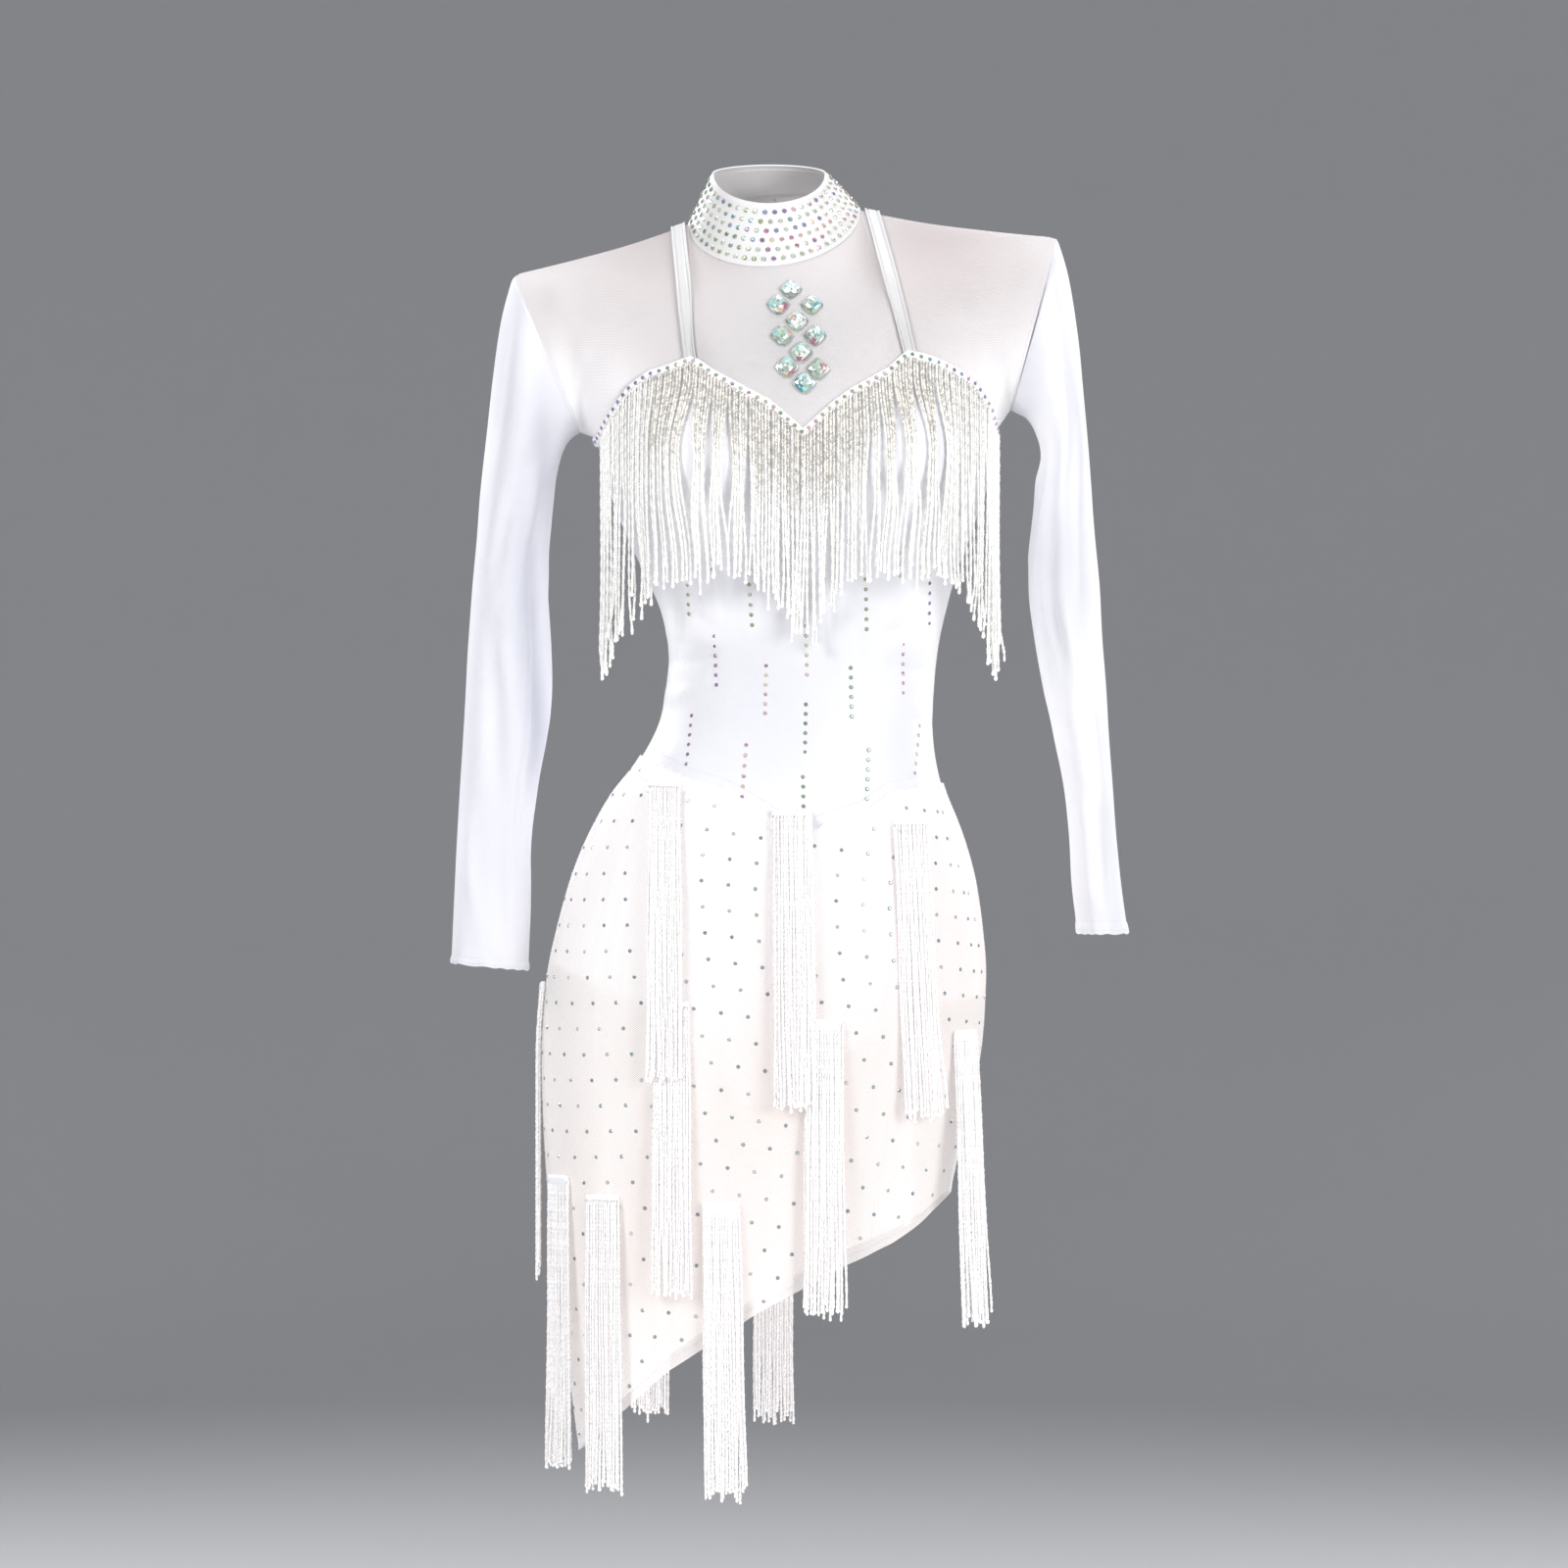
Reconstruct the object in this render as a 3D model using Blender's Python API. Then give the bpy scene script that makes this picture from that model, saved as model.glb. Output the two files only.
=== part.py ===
"""Ballroom dance dress, worn: a leotard with a sheer yoke and sleeves, a sheer slanted skirt,
a bead fringe along the bust and tassels on the skirt.  One closed solid for each piece that is
cut and sewn.

All sizes below are in millimetres.  +Z is up, the front faces -Y and the wearer's left is +X.
The origin is in the middle of the neck, level with the side of the collar's foot."""

from bisect import bisect_right
from math import copysign, cos, exp, pi, radians, sin, sqrt

import bmesh
import bpy
from mathutils import Matrix, Vector

MM = 0.001
WALL = 1.2                 # thickness of every cloth wall
SEAM = 0.3                 # gap between two pieces that are sewn together
LAYER = WALL + SEAM        # step from one cloth to another that lies on it
ROUNDNESS = 2.3            # 2 is an ellipse, more is boxier
STEP = 0.01                # step used to find slopes

# The body of the dress: its left and right edge, and its depth before and behind the side seams.
# level, left, right, front, back
BODY = (
    (-90.0, -151.0, 188.0, 82.0, 92.0),
    (-154.0, -149.0, 186.0, 91.0, 97.0),
    (-172.0, -145.5, 182.0, 93.0, 98.0),
    (-188.0, -140.5, 181.0, 93.0, 98.0),
    (-220.0, -132.5, 174.0, 92.0, 96.0),
    (-252.0, -120.5, 163.0, 90.0, 91.0),
    (-284.0, -106.0, 151.0, 88.0, 85.0),
    (-316.0, -91.5, 142.0, 85.0, 80.0),
    (-348.0, -84.5, 135.0, 83.0, 78.0),
    (-380.0, -86.0, 131.5, 83.0, 80.0),
    (-412.0, -92.5, 130.0, 86.0, 87.0),
    (-444.0, -109.5, 133.5, 91.0, 97.0),
    (-476.0, -131.5, 142.0, 97.0, 108.0),
    (-508.0, -148.5, 153.5, 102.0, 117.0),
    (-540.0, -161.0, 162.0, 105.0, 124.0),
    (-588.0, -174.0, 168.5, 107.0, 129.0),
    (-620.0, -180.0, 170.0, 107.0, 130.0),
    (-684.0, -184.0, 165.0, 105.0, 127.0),
    (-780.0, -180.0, 143.5, 100.0, 117.0),
    (-876.0, -169.5, 127.0, 95.0, 108.0),
    (-1012.0, -152.0, 112.0, 90.0, 98.0),
)
CUP_ACROSS = 90.0          # from the middle of the bodice to the middle of a cup
CUP_LEVEL = -198.0
CUP_WIDE = 50.0
CUP_TALL = 54.0
CUP_DEEP = 27.0

# Edges that run round the body: across, level.
NECKLINE = (
    (-156.0, -174.5), (-141.0, -178.0), (-133.0, -164.0), (-114.5, -139.0), (-99.0, -128.0),
    (-86.5, -124.5), (-72.0, -119.0), (-65.0, -116.0), (-57.5, -120.5), (-46.5, -128.5),
    (-20.0, -143.0), (-1.0, -153.0), (25.0, -175.0), (49.5, -153.5), (64.0, -143.0),
    (92.0, -127.0), (109.0, -111.0), (130.5, -117.0), (148.0, -125.0), (163.0, -134.5),
    (175.0, -153.5), (181.5, -172.0),
)
NECK_CORNERS = (-65.0, 25.0, 109.0)     # the neckline's two peaks and the point between them
EXTRA_COLUMNS = (-33.0, 12.0, 37.0, 78.0, 100.0)
BACK_EDGE = ((-156.0, -174.5), (-141.0, -178.0), (-100.0, -186.0), (20.0, -200.0),
             (140.0, -182.0), (181.5, -172.0))
SKIRT_SEAM = (
    (-103.0, -441.0), (-69.5, -459.0), (-33.5, -470.0), (11.0, -495.0), (27.0, -501.0),
    (47.0, -493.0), (76.0, -484.0), (92.0, -471.0), (125.5, -463.5), (138.0, -462.5),
)
BACK_SEAM = ((-103.0, -441.0), (20.0, -482.0), (138.0, -462.5))
HEM = (
    (-157.0, -1006.0), (-142.5, -990.0), (-118.5, -966.0), (-82.5, -932.0), (-29.0, -896.0),
    (-10.5, -884.0), (57.5, -846.0), (93.5, -829.5), (117.5, -812.0), (147.0, -786.0),
)
LEG_LINE = (
    (-180.0, -605.0), (-142.0, -621.0), (-105.0, -637.0), (-72.0, -666.0), (-40.0, -698.0),
    (-3.0, -700.0), (34.0, -698.0), (72.0, -666.0), (112.0, -640.0), (170.0, -632.0),
)

# Soft folds of the skirt: turn in degrees, half width in degrees, height, level where it starts.
SKIRT_FOLDS = (
    (12.0, 9.0, 3.0, -500.0), (31.0, 8.0, 4.0, -480.0), (52.0, 9.0, 2.5, -470.0),
    (-22.0, 10.0, 2.5, -520.0), (-52.0, 11.0, 2.0, -620.0), (150.0, 10.0, 3.5, -490.0),
    (118.0, 9.0, 2.5, -480.0), (-160.0, 10.0, 3.0, -520.0), (-125.0, 11.0, 2.0, -600.0),
)
SKIRT_EASE = 2.0           # how much further out the skirt hangs below its seam
SKIRT_LIFT = 0.5           # play between the skirt's top edge and the bodice
BRIEF_EASE = 1.0           # how much further in the brief lies below its seam
SKIRT_LAP = 2.0            # how far the skirt's top edge laps over the bodice
TUCK_LEVEL = -600.0        # below this the brief draws in towards the crotch
TUCK_TALL = 110.0
TUCK_SHARE = 0.4
CROTCH = (-3.0, -700.0)    # across, level
GUSSET_HALF = 34.0         # half the gusset's width at its ends
GUSSET_NARROWS = 9.0
GUSSET_DROP = 20.0
GUSSET_GAP = 2.0           # how far below the brief's edge the gusset starts

NECK_MIDDLE = 1.8
NECK_WIDE = 69.5
NECK_FRONT = 62.0
NECK_BACK = 58.0
NECK_LEVEL = 2.5
NECK_TILT = 5.5            # the wearer's left side of the neck is higher
NECK_DIP = 44.2            # drop of the collar's foot at the front
NECK_RISE = 20.0           # its rise at the back
RIM_MIDDLE = (-2.5, -5.0)
RIM_WIDE = 45.5
RIM_FRONT = 44.0
RIM_BACK = 42.0
RIM_LEVEL = 38.0
RIM_DIP = 28.0
RIM_RISE = 10.0
COLLAR_LIFT = 1.9          # height of the collar's wall over the yoke's edge

SHOULDER_SAG = 3.0
YOKE_NECK = 0.5            # share of the yoke's columns that end at the collar
BACK_COLUMNS = (0.13, 0.26, 0.38, 0.5, 0.56, 0.64, 0.73, 0.83, 0.92, 1.0)
YOKE_SLIT = 0.004          # half the opening down the yoke's back, on the same scale
# Half way up the yoke, its depth before and behind the shoulder seam: across, front, back
YOKE_DEPTH = ((0.0, 87.0, 95.0), (0.5, 81.0, 88.0), (0.7, 76.0, 86.0), (0.85, 68.0, 76.0),
              (1.0, 57.0, 57.0))
BODICE_ROWS = (0.0, 0.05, 0.11, 0.18, 0.27, 0.38, 0.52, 0.68, 0.84, 1.0)
BACK_ROWS = (0.0, 0.15, 0.3, 0.45, 0.6, 0.75, 0.88, 1.0)
SKIRT_ROWS = (0.0, 0.04, 0.09, 0.15, 0.22, 0.30, 0.40, 0.52, 0.64, 0.76, 0.88, 1.0)
BRIEF_ROWS = (0.0, 0.18, 0.38, 0.6, 0.8, 1.0)
YOKE_ROWS = (0.0, 0.14, 0.29, 0.44, 0.59, 0.73, 0.85, 0.94, 1.0)

# The sleeves, each from its armhole to its cuff:
# outer across, outer level, inner across, inner level, girth
SLEEVE_RIGHT = (
    (-211.0, -44.8, -156.8, -172.8, 399.0), (-220.5, -80.0, -163.5, -177.5, 372.0),
    (-227.0, -124.0, -169.0, -184.5, 338.0), (-232.5, -172.0, -174.0, -198.0, 305.0),
    (-237.5, -220.0, -179.5, -225.0, 280.0), (-240.5, -260.0, -184.0, -260.0, 265.0),
    (-244.5, -300.0, -183.5, -300.0, 257.0), (-248.0, -348.0, -180.5, -348.0, 250.0),
    (-250.0, -388.0, -180.0, -388.0, 243.0), (-252.5, -428.0, -184.0, -428.0, 234.0),
    (-254.5, -460.0, -190.0, -460.0, 223.0), (-256.5, -500.0, -195.5, -500.0, 210.0),
    (-258.5, -540.0, -196.5, -540.0, 197.0), (-260.5, -580.0, -198.0, -580.0, 184.0),
    (-261.5, -606.0, -199.5, -612.0, 174.0),
)
SLEEVE_LEFT = (
    (232.0, -14.4, 194.4, -154.4, 402.0), (242.0, -48.0, 200.0, -157.5, 374.0),
    (249.5, -96.0, 208.0, -162.0, 340.0), (253.5, -136.0, 215.0, -173.0, 306.0),
    (257.5, -180.0, 219.5, -190.0, 281.0), (260.0, -216.0, 217.0, -216.0, 268.0),
    (262.5, -256.0, 213.0, -256.0, 260.0), (267.0, -300.0, 209.5, -300.0, 255.0),
    (269.0, -340.0, 214.0, -340.0, 249.0), (272.0, -380.0, 221.0, -380.0, 242.0),
    (274.5, -420.0, 229.0, -420.0, 232.0), (277.5, -460.0, 237.5, -460.0, 221.0),
    (280.0, -500.0, 242.0, -500.0, 208.0), (284.0, -540.0, 244.5, -540.0, 195.0),
    (290.0, -582.0, 249.5, -582.0, 176.0),
)
SLEEVE_SIDES = 14

STRAP_WIDE = 12.0
STRAP_START = 0.06         # where a strap starts above the bodice, as a share of the yoke
STRAP_EASE = 1.5           # play between a strap and the yoke that it lies on
STRAP_LEAN = 0.03          # how far a strap's top lies outside the collar's foot
CRYSTAL_RADIUS = 8.8       # middle to corner
CRYSTAL_TABLE = 5.4
CRYSTAL_HIGH = 4.4
CRYSTAL_EASE = 0.8         # play for the yoke's bow under a crystal's flat back
CRYSTALS = (               # across, level
    (15.0, -61.0), (4.8, -74.0), (32.0, -74.0), (20.0, -87.2), (8.0, -99.2), (34.4, -99.2),
    (23.2, -112.8), (12.0, -124.8), (36.8, -126.4), (25.6, -137.6),
)
BUTTON_RADIUS = 4.0
BUTTON_HIGH = 2.6
BUTTON_PLACES = (0.2, 0.5, 0.8)

FRINGE_STRANDS = 78
FRINGE_TAPE = 7.0          # height of the tape that the fringe hangs from
FRINGE_TURNS = (radians(-71.5), radians(86))
TAPE_EASE = 1.0            # play between the fringe's tape and the bodice
FRINGE_TOLERANCE = 0.8     # how far a strand's straight runs may cut its curve
TASSEL_TOLERANCE = 1.3
FRINGE_EASE = 2.6          # play between the hanging strands and the bodice
STRAND_SHARE = 0.34        # a strand's width as a share of the pitch
FRINGE_ENDS = (            # across, level
    (-141.0, -378.0), (-132.0, -370.0), (-127.0, -340.0), (-117.0, -324.0), (-104.0, -312.0),
    (-94.0, -300.0), (-70.0, -296.0), (-38.0, -292.0), (-6.0, -300.0), (10.0, -324.0),
    (27.0, -348.0), (45.0, -320.0), (62.0, -296.0), (90.0, -292.0), (122.0, -292.0),
    (150.0, -298.0), (160.0, -318.0), (170.0, -334.0), (177.0, -364.0), (190.0, -368.0),
)
# Where the fringe parts over the cups: across, half width, push to each side
FRINGE_PARTINGS = (
    (-81.0, 11.0, 3.0), (-62.0, 10.0, 3.4), (-33.0, 12.0, 3.6), (83.0, 11.0, 3.2),
    (106.0, 10.0, 3.4), (130.0, 11.0, 3.0),
)
FRINGE_JITTER = 5.0
HANG_STEP = 7.0            # height of one step down a strand
HANG_REACH = 60.0          # furthest that one step looks outwards for the cloth's surface
SIDE_SHARE = 0.97          # past this share of the way round, what hangs is pushed sideways

TASSEL_LONG = 234.0
TASSEL_WIDE = 29.0
TASSEL_HEAD = 9.0
TASSEL_THICK = 2.2
TASSEL_EASE = 1.9          # play between a tassel and the skirt
TASSEL_STRANDS = 8
TASSEL_JITTER = 3.0
# name, across, level of the top, lean at the bottom, lift off the cloth at the bottom, front
TASSELS = (
    ("tassel_front_1", -82.4, -460.0, 0.0, 4.5, True),
    ("tassel_front_2", -79.6, -634.0, 0.0, 0.0, True),
    ("tassel_front_3", 17.5, -482.0, 3.0, 4.5, True),
    ("tassel_front_4", 40.8, -648.0, 0.0, 0.0, True),
    ("tassel_front_5", 107.0, -490.0, 11.0, 0.0, True),
    ("tassel_front_6", 151.0, -658.0, 9.0, 0.0, True),
    ("tassel_front_7", -133.6, -790.0, 1.0, 0.0, True),
    ("tassel_front_8", -41.6, -795.0, 3.0, 0.0, True),
    ("tassel_side_1", -183.2, -622.0, 0.0, 0.0, True),
    ("tassel_side_2", -168.0, -776.0, 0.0, 0.0, True),
    ("tassel_back_1", -99.0, -745.0, 0.0, 0.0, False),
    ("tassel_back_2", 2.4, -753.0, 0.0, 0.0, False),
    ("tassel_back_3", 98.0, -588.0, 0.0, 0.0, False),
    ("tassel_back_4", 40.0, -500.0, 0.0, 0.0, False),
    ("tassel_back_5", -62.0, -500.0, 0.0, 0.0, False),
    ("tassel_back_6", -128.0, -590.0, 0.0, 0.0, False),
)


# ---------------------------------------------------------------- tables and slopes

def smooth(value):
    """0 to 1 with soft ends."""
    value = min(max(value, 0.0), 1.0)
    return value * value * (3.0 - 2.0 * value)


def rows_around(table, key):
    rows = sorted(table)
    first = bisect_right([row[0] for row in rows], key) - 1
    first = min(max(first, 0), len(rows) - 2)
    share = (key - rows[first][0]) / (rows[first + 1][0] - rows[first][0])
    return rows, first, min(max(share, 0.0), 1.0)


def read_line(table, key):
    """A table's second column at any value of its first, by straight lines."""
    rows, first, share = rows_around(table, key)
    return rows[first][1] + (rows[first + 1][1] - rows[first][1]) * share


def read_curve(table, key):
    """A table's other columns at any value of its first, by a smooth curve through its rows."""
    rows, first, share = rows_around(table, key)
    before, start = rows[max(first - 1, 0)], rows[first]
    end, after = rows[first + 1], rows[min(first + 2, len(rows) - 1)]
    span = end[0] - start[0]
    values = []
    for column in range(1, len(start)):
        leave = (end[column] - before[column]) / (end[0] - before[0]) * span
        arrive = (after[column] - start[column]) / (after[0] - start[0]) * span
        rise = end[column] - start[column]
        bend = leave + arrive - 2.0 * rise
        values.append(start[column] + share * (leave + share * (rise - leave - bend * (1.0 - share))))
    return values


# ---------------------------------------------------------------- the body's surface

def cup(across, middle, level):
    """How far the bust stands out from the plain oval of the body."""
    depth = 0.0
    for side in (-1.0, 1.0):
        aside = (across - middle - side * CUP_ACROSS) / CUP_WIDE
        away = (level - CUP_LEVEL) / CUP_TALL
        depth += CUP_DEEP * exp(-aside * aside - away * away)
    return depth


def body_skin(turn, level):
    """A point of the body; turn 0 is the middle of the front and 90 degrees the +X side seam."""
    left, right, front, back = read_curve(BODY, level)
    middle, half = (left + right) / 2.0, (right - left) / 2.0
    across, ahead = sin(turn), cos(turn)
    x = middle + half * copysign(abs(across) ** (2.0 / ROUNDNESS), across)
    depth = front if ahead > 0.0 else back
    y = -depth * copysign(abs(ahead) ** (2.0 / ROUNDNESS), ahead)
    if ahead > 0.0:
        y -= cup(x, middle, level) * min(1.0, 2.0 * ahead)
    return Vector((x, y, level))


def body_normal(turn, level):
    before = body_skin(turn - STEP, level)
    after = body_skin(turn + STEP, level)
    below = body_skin(turn, level - 1.0)
    above = body_skin(turn, level + 1.0)
    return (after - before).cross(above - below).normalized()


def body_point(turn, level, out=0.0):
    """A point of a layer that lies this far outside the body, and its normal."""
    normal = body_normal(turn, level)
    return body_skin(turn, level) + normal * out, normal


def edge_level(turn, edge):
    """Level at which an edge, given as across and level, crosses this turn of the body."""
    level = edge[0][1]
    for _ in range(12):
        level += 0.6 * (read_line(edge, body_skin(turn, level).x) - level)
    return level


def turn_at(across, level, front):
    """Turn of the body's point at this place across."""
    left, right, _, _ = read_curve(BODY, level)
    share = (across - (left + right) / 2.0) / ((right - left) / 2.0)
    low, high = -pi / 2.0, pi / 2.0
    share = min(max(share, -0.9999), 0.9999)
    for _ in range(40):
        turn = (low + high) / 2.0
        if copysign(abs(sin(turn)) ** (2.0 / ROUNDNESS), sin(turn)) < share:
            low = turn
        else:
            high = turn
    return turn if front else pi - turn


# ---------------------------------------------------------------- the yoke's surface

def neck_foot(turn):
    """The collar's foot; turn 0 is its front."""
    ahead = cos(turn)
    depth = NECK_FRONT if ahead > 0.0 else NECK_BACK
    rise = -NECK_DIP if ahead > 0.0 else -NECK_RISE
    level = NECK_LEVEL + NECK_TILT * sin(turn) + rise * ahead
    return Vector((NECK_MIDDLE + NECK_WIDE * sin(turn), -depth * ahead, level))


def neck_rim(turn):
    """The collar's top edge."""
    ahead = cos(turn)
    depth = RIM_FRONT if ahead > 0.0 else RIM_BACK
    rise = -RIM_DIP if ahead > 0.0 else -RIM_RISE
    middle = RIM_MIDDLE
    return Vector((middle[0] + RIM_WIDE * sin(turn), middle[1] - depth * ahead,
                   RIM_LEVEL + rise * ahead))


def sleeve_ends(table, row):
    outer_x, outer_z, inner_x, inner_z, girth = table[row]
    return Vector((outer_x, 0.0, outer_z)), Vector((inner_x, 0.0, inner_z)), girth


def yoke_turns(front):
    """Where the yoke's main columns start on the bodice's top edge: across, turn."""
    if front:
        peaks = [turn_at(across, read_line(NECKLINE, across), True) for across in NECK_CORNERS]
    else:
        peaks = [radians(-32.0), 0.0, radians(32.0)]
    return ((-1.0, -pi / 2.0), (-YOKE_NECK, peaks[0]), (0.0, peaks[1]), (YOKE_NECK, peaks[2]),
            (1.0, pi / 2.0))


def yoke_edge(across, front):
    turn = read_line(YOKE_TURNS[front], across)
    turn = turn if front else pi - turn
    return body_point(turn, edge_level(turn, NECKLINE if front else BACK_EDGE) + SEAM)


YOKE_TURNS = {True: yoke_turns(True), False: yoke_turns(False)}


def yoke_arch(across, front):
    """Foot, top and bulge of one column of the yoke; across runs from -1 to 1."""
    sleeve = SLEEVE_LEFT if across > 0.0 else SLEEVE_RIGHT
    tip, armpit, _ = sleeve_ends(sleeve, 0)
    if abs(across) > YOKE_NECK:
        share = (abs(across) - YOKE_NECK) / (1.0 - YOKE_NECK)
        top = neck_foot(copysign(pi / 2.0, across)).lerp(tip, share)
        top.z -= SHOULDER_SAG * sin(pi * share)
    else:
        turn = across / YOKE_NECK * pi / 2.0
        top = neck_foot(turn if front else pi - turn)
    edge, _ = yoke_edge(across, front)
    foot = (edge + Vector((0.0, 0.0, 3.0))).lerp(armpit, smooth((abs(across) - 0.86) / 0.14))
    half_way = abs(foot.lerp(top, yoke_share(across, 0.5)).y)
    bulge = read_curve(YOKE_DEPTH, abs(across))[0 if front else 1] - half_way
    return foot, top, Vector((0.0, -bulge if front else bulge, 0.0))


def yoke_share(across, rise):
    """Share of the way from foot to top; it turns level at the shoulder, and at the armhole's
    foot as well."""
    over = smooth((abs(across) - YOKE_NECK) / 0.3)
    share = rise + (sin(pi / 2.0 * rise) - rise) * over
    around = smooth((abs(across) - 0.88) / 0.12)
    return share + ((1.0 - cos(pi * rise)) / 2.0 - share) * around


def yoke_skin(across, rise, front):
    """A point of the yoke; rise goes from 0 at the bodice to 1 at the shoulder or the collar."""
    foot, top, bulge = yoke_arch(across, front)
    return foot.lerp(top, yoke_share(across, rise)) + bulge * sin(pi * rise)


def yoke_point(across, rise, front, out=0.0):
    if abs(across) > 0.999:
        foot, top, bulge = yoke_arch(across, front)
        half = (top - foot) / 2.0
        normal = bulge * sin(pi * rise) / bulge.length_squared
        normal -= half * cos(pi * rise) / half.length_squared
    else:
        inside = min(max(rise, STEP), 1.0 - STEP)
        along = (yoke_skin(across + STEP, inside, front) - yoke_skin(across - STEP, inside, front))
        up = (yoke_skin(across, inside + STEP, front) - yoke_skin(across, inside - STEP, front))
        normal = along.cross(up) if front else up.cross(along)
    normal = normal.normalized()
    if rise > 1.0 - STEP and YOKE_NECK - 0.001 < abs(across) < 0.999:
        normal = Vector((normal.x, 0.0, normal.z)).normalized()
    return yoke_skin(across, rise, front) + normal * out, normal


def yoke_place(x, level):
    """Where a place of the front view lies on the front yoke."""
    across, rise = 0.1, 0.5
    for _ in range(30):
        here = yoke_skin(across, rise, True)
        wider = yoke_skin(across + STEP, rise, True)
        higher = yoke_skin(across, rise + STEP, True)
        across += 0.7 * (x - here.x) / (wider.x - here.x) * STEP
        rise += 0.7 * (level - here.z) / (higher.z - here.z) * STEP
    return across, rise


# ---------------------------------------------------------------- building meshes

def cloth_material(name, color, roughness=0.6, metallic=0.0):
    material = bpy.data.materials.get(name) or bpy.data.materials.new(name)
    material.use_nodes = True
    shader = material.node_tree.nodes["Principled BSDF"]
    shader.inputs["Base Color"].default_value = (*color, 1.0)
    shader.inputs["Roughness"].default_value = roughness
    shader.inputs["Metallic"].default_value = metallic
    return material


def finish(name, bm, material, collection):
    """Turn a mesh in millimetres into a named object in metres."""
    bmesh.ops.recalc_face_normals(bm, faces=bm.faces)
    bmesh.ops.scale(bm, vec=(MM, MM, MM), verts=bm.verts)
    mesh = bpy.data.meshes.new(name)
    bm.to_mesh(mesh)
    bm.free()
    mesh.materials.append(material)
    mesh.shade_smooth()
    mesh.set_sharp_from_angle(angle=radians(40.0))
    obj = bpy.data.objects.new(name, mesh)
    collection.objects.link(obj)
    return obj


def wall(name, rows, material, collection, loop=False):
    """Closed cloth wall about a grid of points with their normals; loop joins a row's ends."""
    bm = bmesh.new()
    sides = []
    for shift in (-WALL / 2.0, WALL / 2.0):
        sides.append([[bm.verts.new(point + normal * shift) for point, normal in row]
                      for row in rows])
    inner, outer = sides
    high, wide = len(rows), len(rows[0])
    spans = wide if loop else wide - 1
    for column in range(spans):
        after = (column + 1) % wide
        for row in range(high - 1):
            for grid in sides:
                bm.faces.new((grid[row][column], grid[row][after],
                              grid[row + 1][after], grid[row + 1][column]))
        for row in (0, high - 1):
            bm.faces.new((inner[row][column], inner[row][after],
                          outer[row][after], outer[row][column]))
    if not loop:
        for column in (0, wide - 1):
            for row in range(high - 1):
                bm.faces.new((inner[row][column], inner[row + 1][column],
                              outer[row + 1][column], outer[row][column]))
    return finish(name, bm, material, collection)


def thin_path(points, tolerance):
    """The fewest of a path's points that keep within a tolerance of it."""
    start, end = points[0], points[-1]
    span = end - start
    worst, place = 0.0, 0
    for index in range(1, len(points) - 1):
        share = (points[index] - start).dot(span) / span.length_squared
        gap = (points[index] - (start + span * share)).length
        if gap > worst:
            worst, place = gap, index
    if worst < tolerance:
        return [start, end]
    return thin_path(points[:place + 1], tolerance)[:-1] + thin_path(points[place:], tolerance)


def comb(name, stations, thick, paths, material, collection):
    """A tape along its stations, each a top, a bottom and a normal, with a strand hanging from
    every second span of its lower edge."""
    bm = bmesh.new()
    rings = []
    for top, bottom, normal in stations:
        rings.append([bm.verts.new(top - normal * thick / 2.0),
                      bm.verts.new(top + normal * thick / 2.0),
                      bm.verts.new(bottom + normal * thick / 2.0),
                      bm.verts.new(bottom - normal * thick / 2.0)])
    bm.faces.new(rings[0])
    bm.faces.new(rings[-1])
    roots = []
    for before, after in zip(rings, rings[1:]):
        for corner in range(4):
            around = (corner + 1) % 4
            face = bm.faces.new((before[corner], after[corner], after[around], before[around]))
            if corner == 2:
                roots.append(face)
    bmesh.ops.recalc_face_normals(bm, faces=bm.faces)
    for face, path in zip(roots[1::2], paths):
        for start, end in zip(path, path[1:]):
            grown = bmesh.ops.extrude_discrete_faces(bm, faces=[face])
            face = grown["faces"][0]
            bmesh.ops.translate(bm, vec=end - start, verts=list(face.verts))
    return finish(name, bm, material, collection)


# ---------------------------------------------------------------- what hangs

def is_outside(point, out):
    """Whether a point lies further out than a layer round the body."""
    left, right, front, back = read_curve(BODY, point.z)
    middle, half = (left + right) / 2.0, (right - left) / 2.0 + out
    aside = abs(point.x - middle) / half
    if aside >= 1.0:
        return True
    bow = (1.0 - aside ** ROUNDNESS) ** (1.0 / ROUNDNESS)
    if point.y < 0.0:
        return point.y < -(front + out) * bow - cup(point.x, middle, point.z)
    return point.y > (back + out) * bow


def hang(root, away, bottom, out, tolerance, lean=0.0, lift=0.0, shift=None):
    """The way down of a strand: along the cloth while that widens, then straight."""
    steps = max(int((root.z - bottom) / HANG_STEP), 4)
    across = Vector((abs(away.y), -abs(away.x), 0.0))
    reach = 0.0
    points = []
    for step in range(steps + 1):
        share = step / steps
        aside = across * (lean * share)
        if shift is not None:
            aside = aside + across * shift(share)
        start = Vector((root.x, root.y, root.z + (bottom - root.z) * share)) + aside
        low, high = reach, reach + HANG_REACH
        if not is_outside(start + away * reach, out):
            for _ in range(24):
                middle = (low + high) / 2.0
                if is_outside(start + away * middle, out):
                    high = middle
                else:
                    low = middle
            reach = high
        points.append(start + away * (reach + lift * smooth(share * 1.8)))
    return thin_path([root] + points[1:], tolerance)


def hang_way(turn):
    """The direction in which wider cloth pushes what hangs at this turn of the body."""
    if abs(sin(turn)) > SIDE_SHARE:
        return Vector((copysign(1.0, sin(turn)), 0.0, 0.0))
    return Vector((0.0, -copysign(1.0, cos(turn)), 0.0))


def sway(index, size):
    """A small length that differs from strand to strand and is the same each time."""
    return size * sin(index * 12.9898 + 4.1) * cos(index * 4.7)


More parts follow.
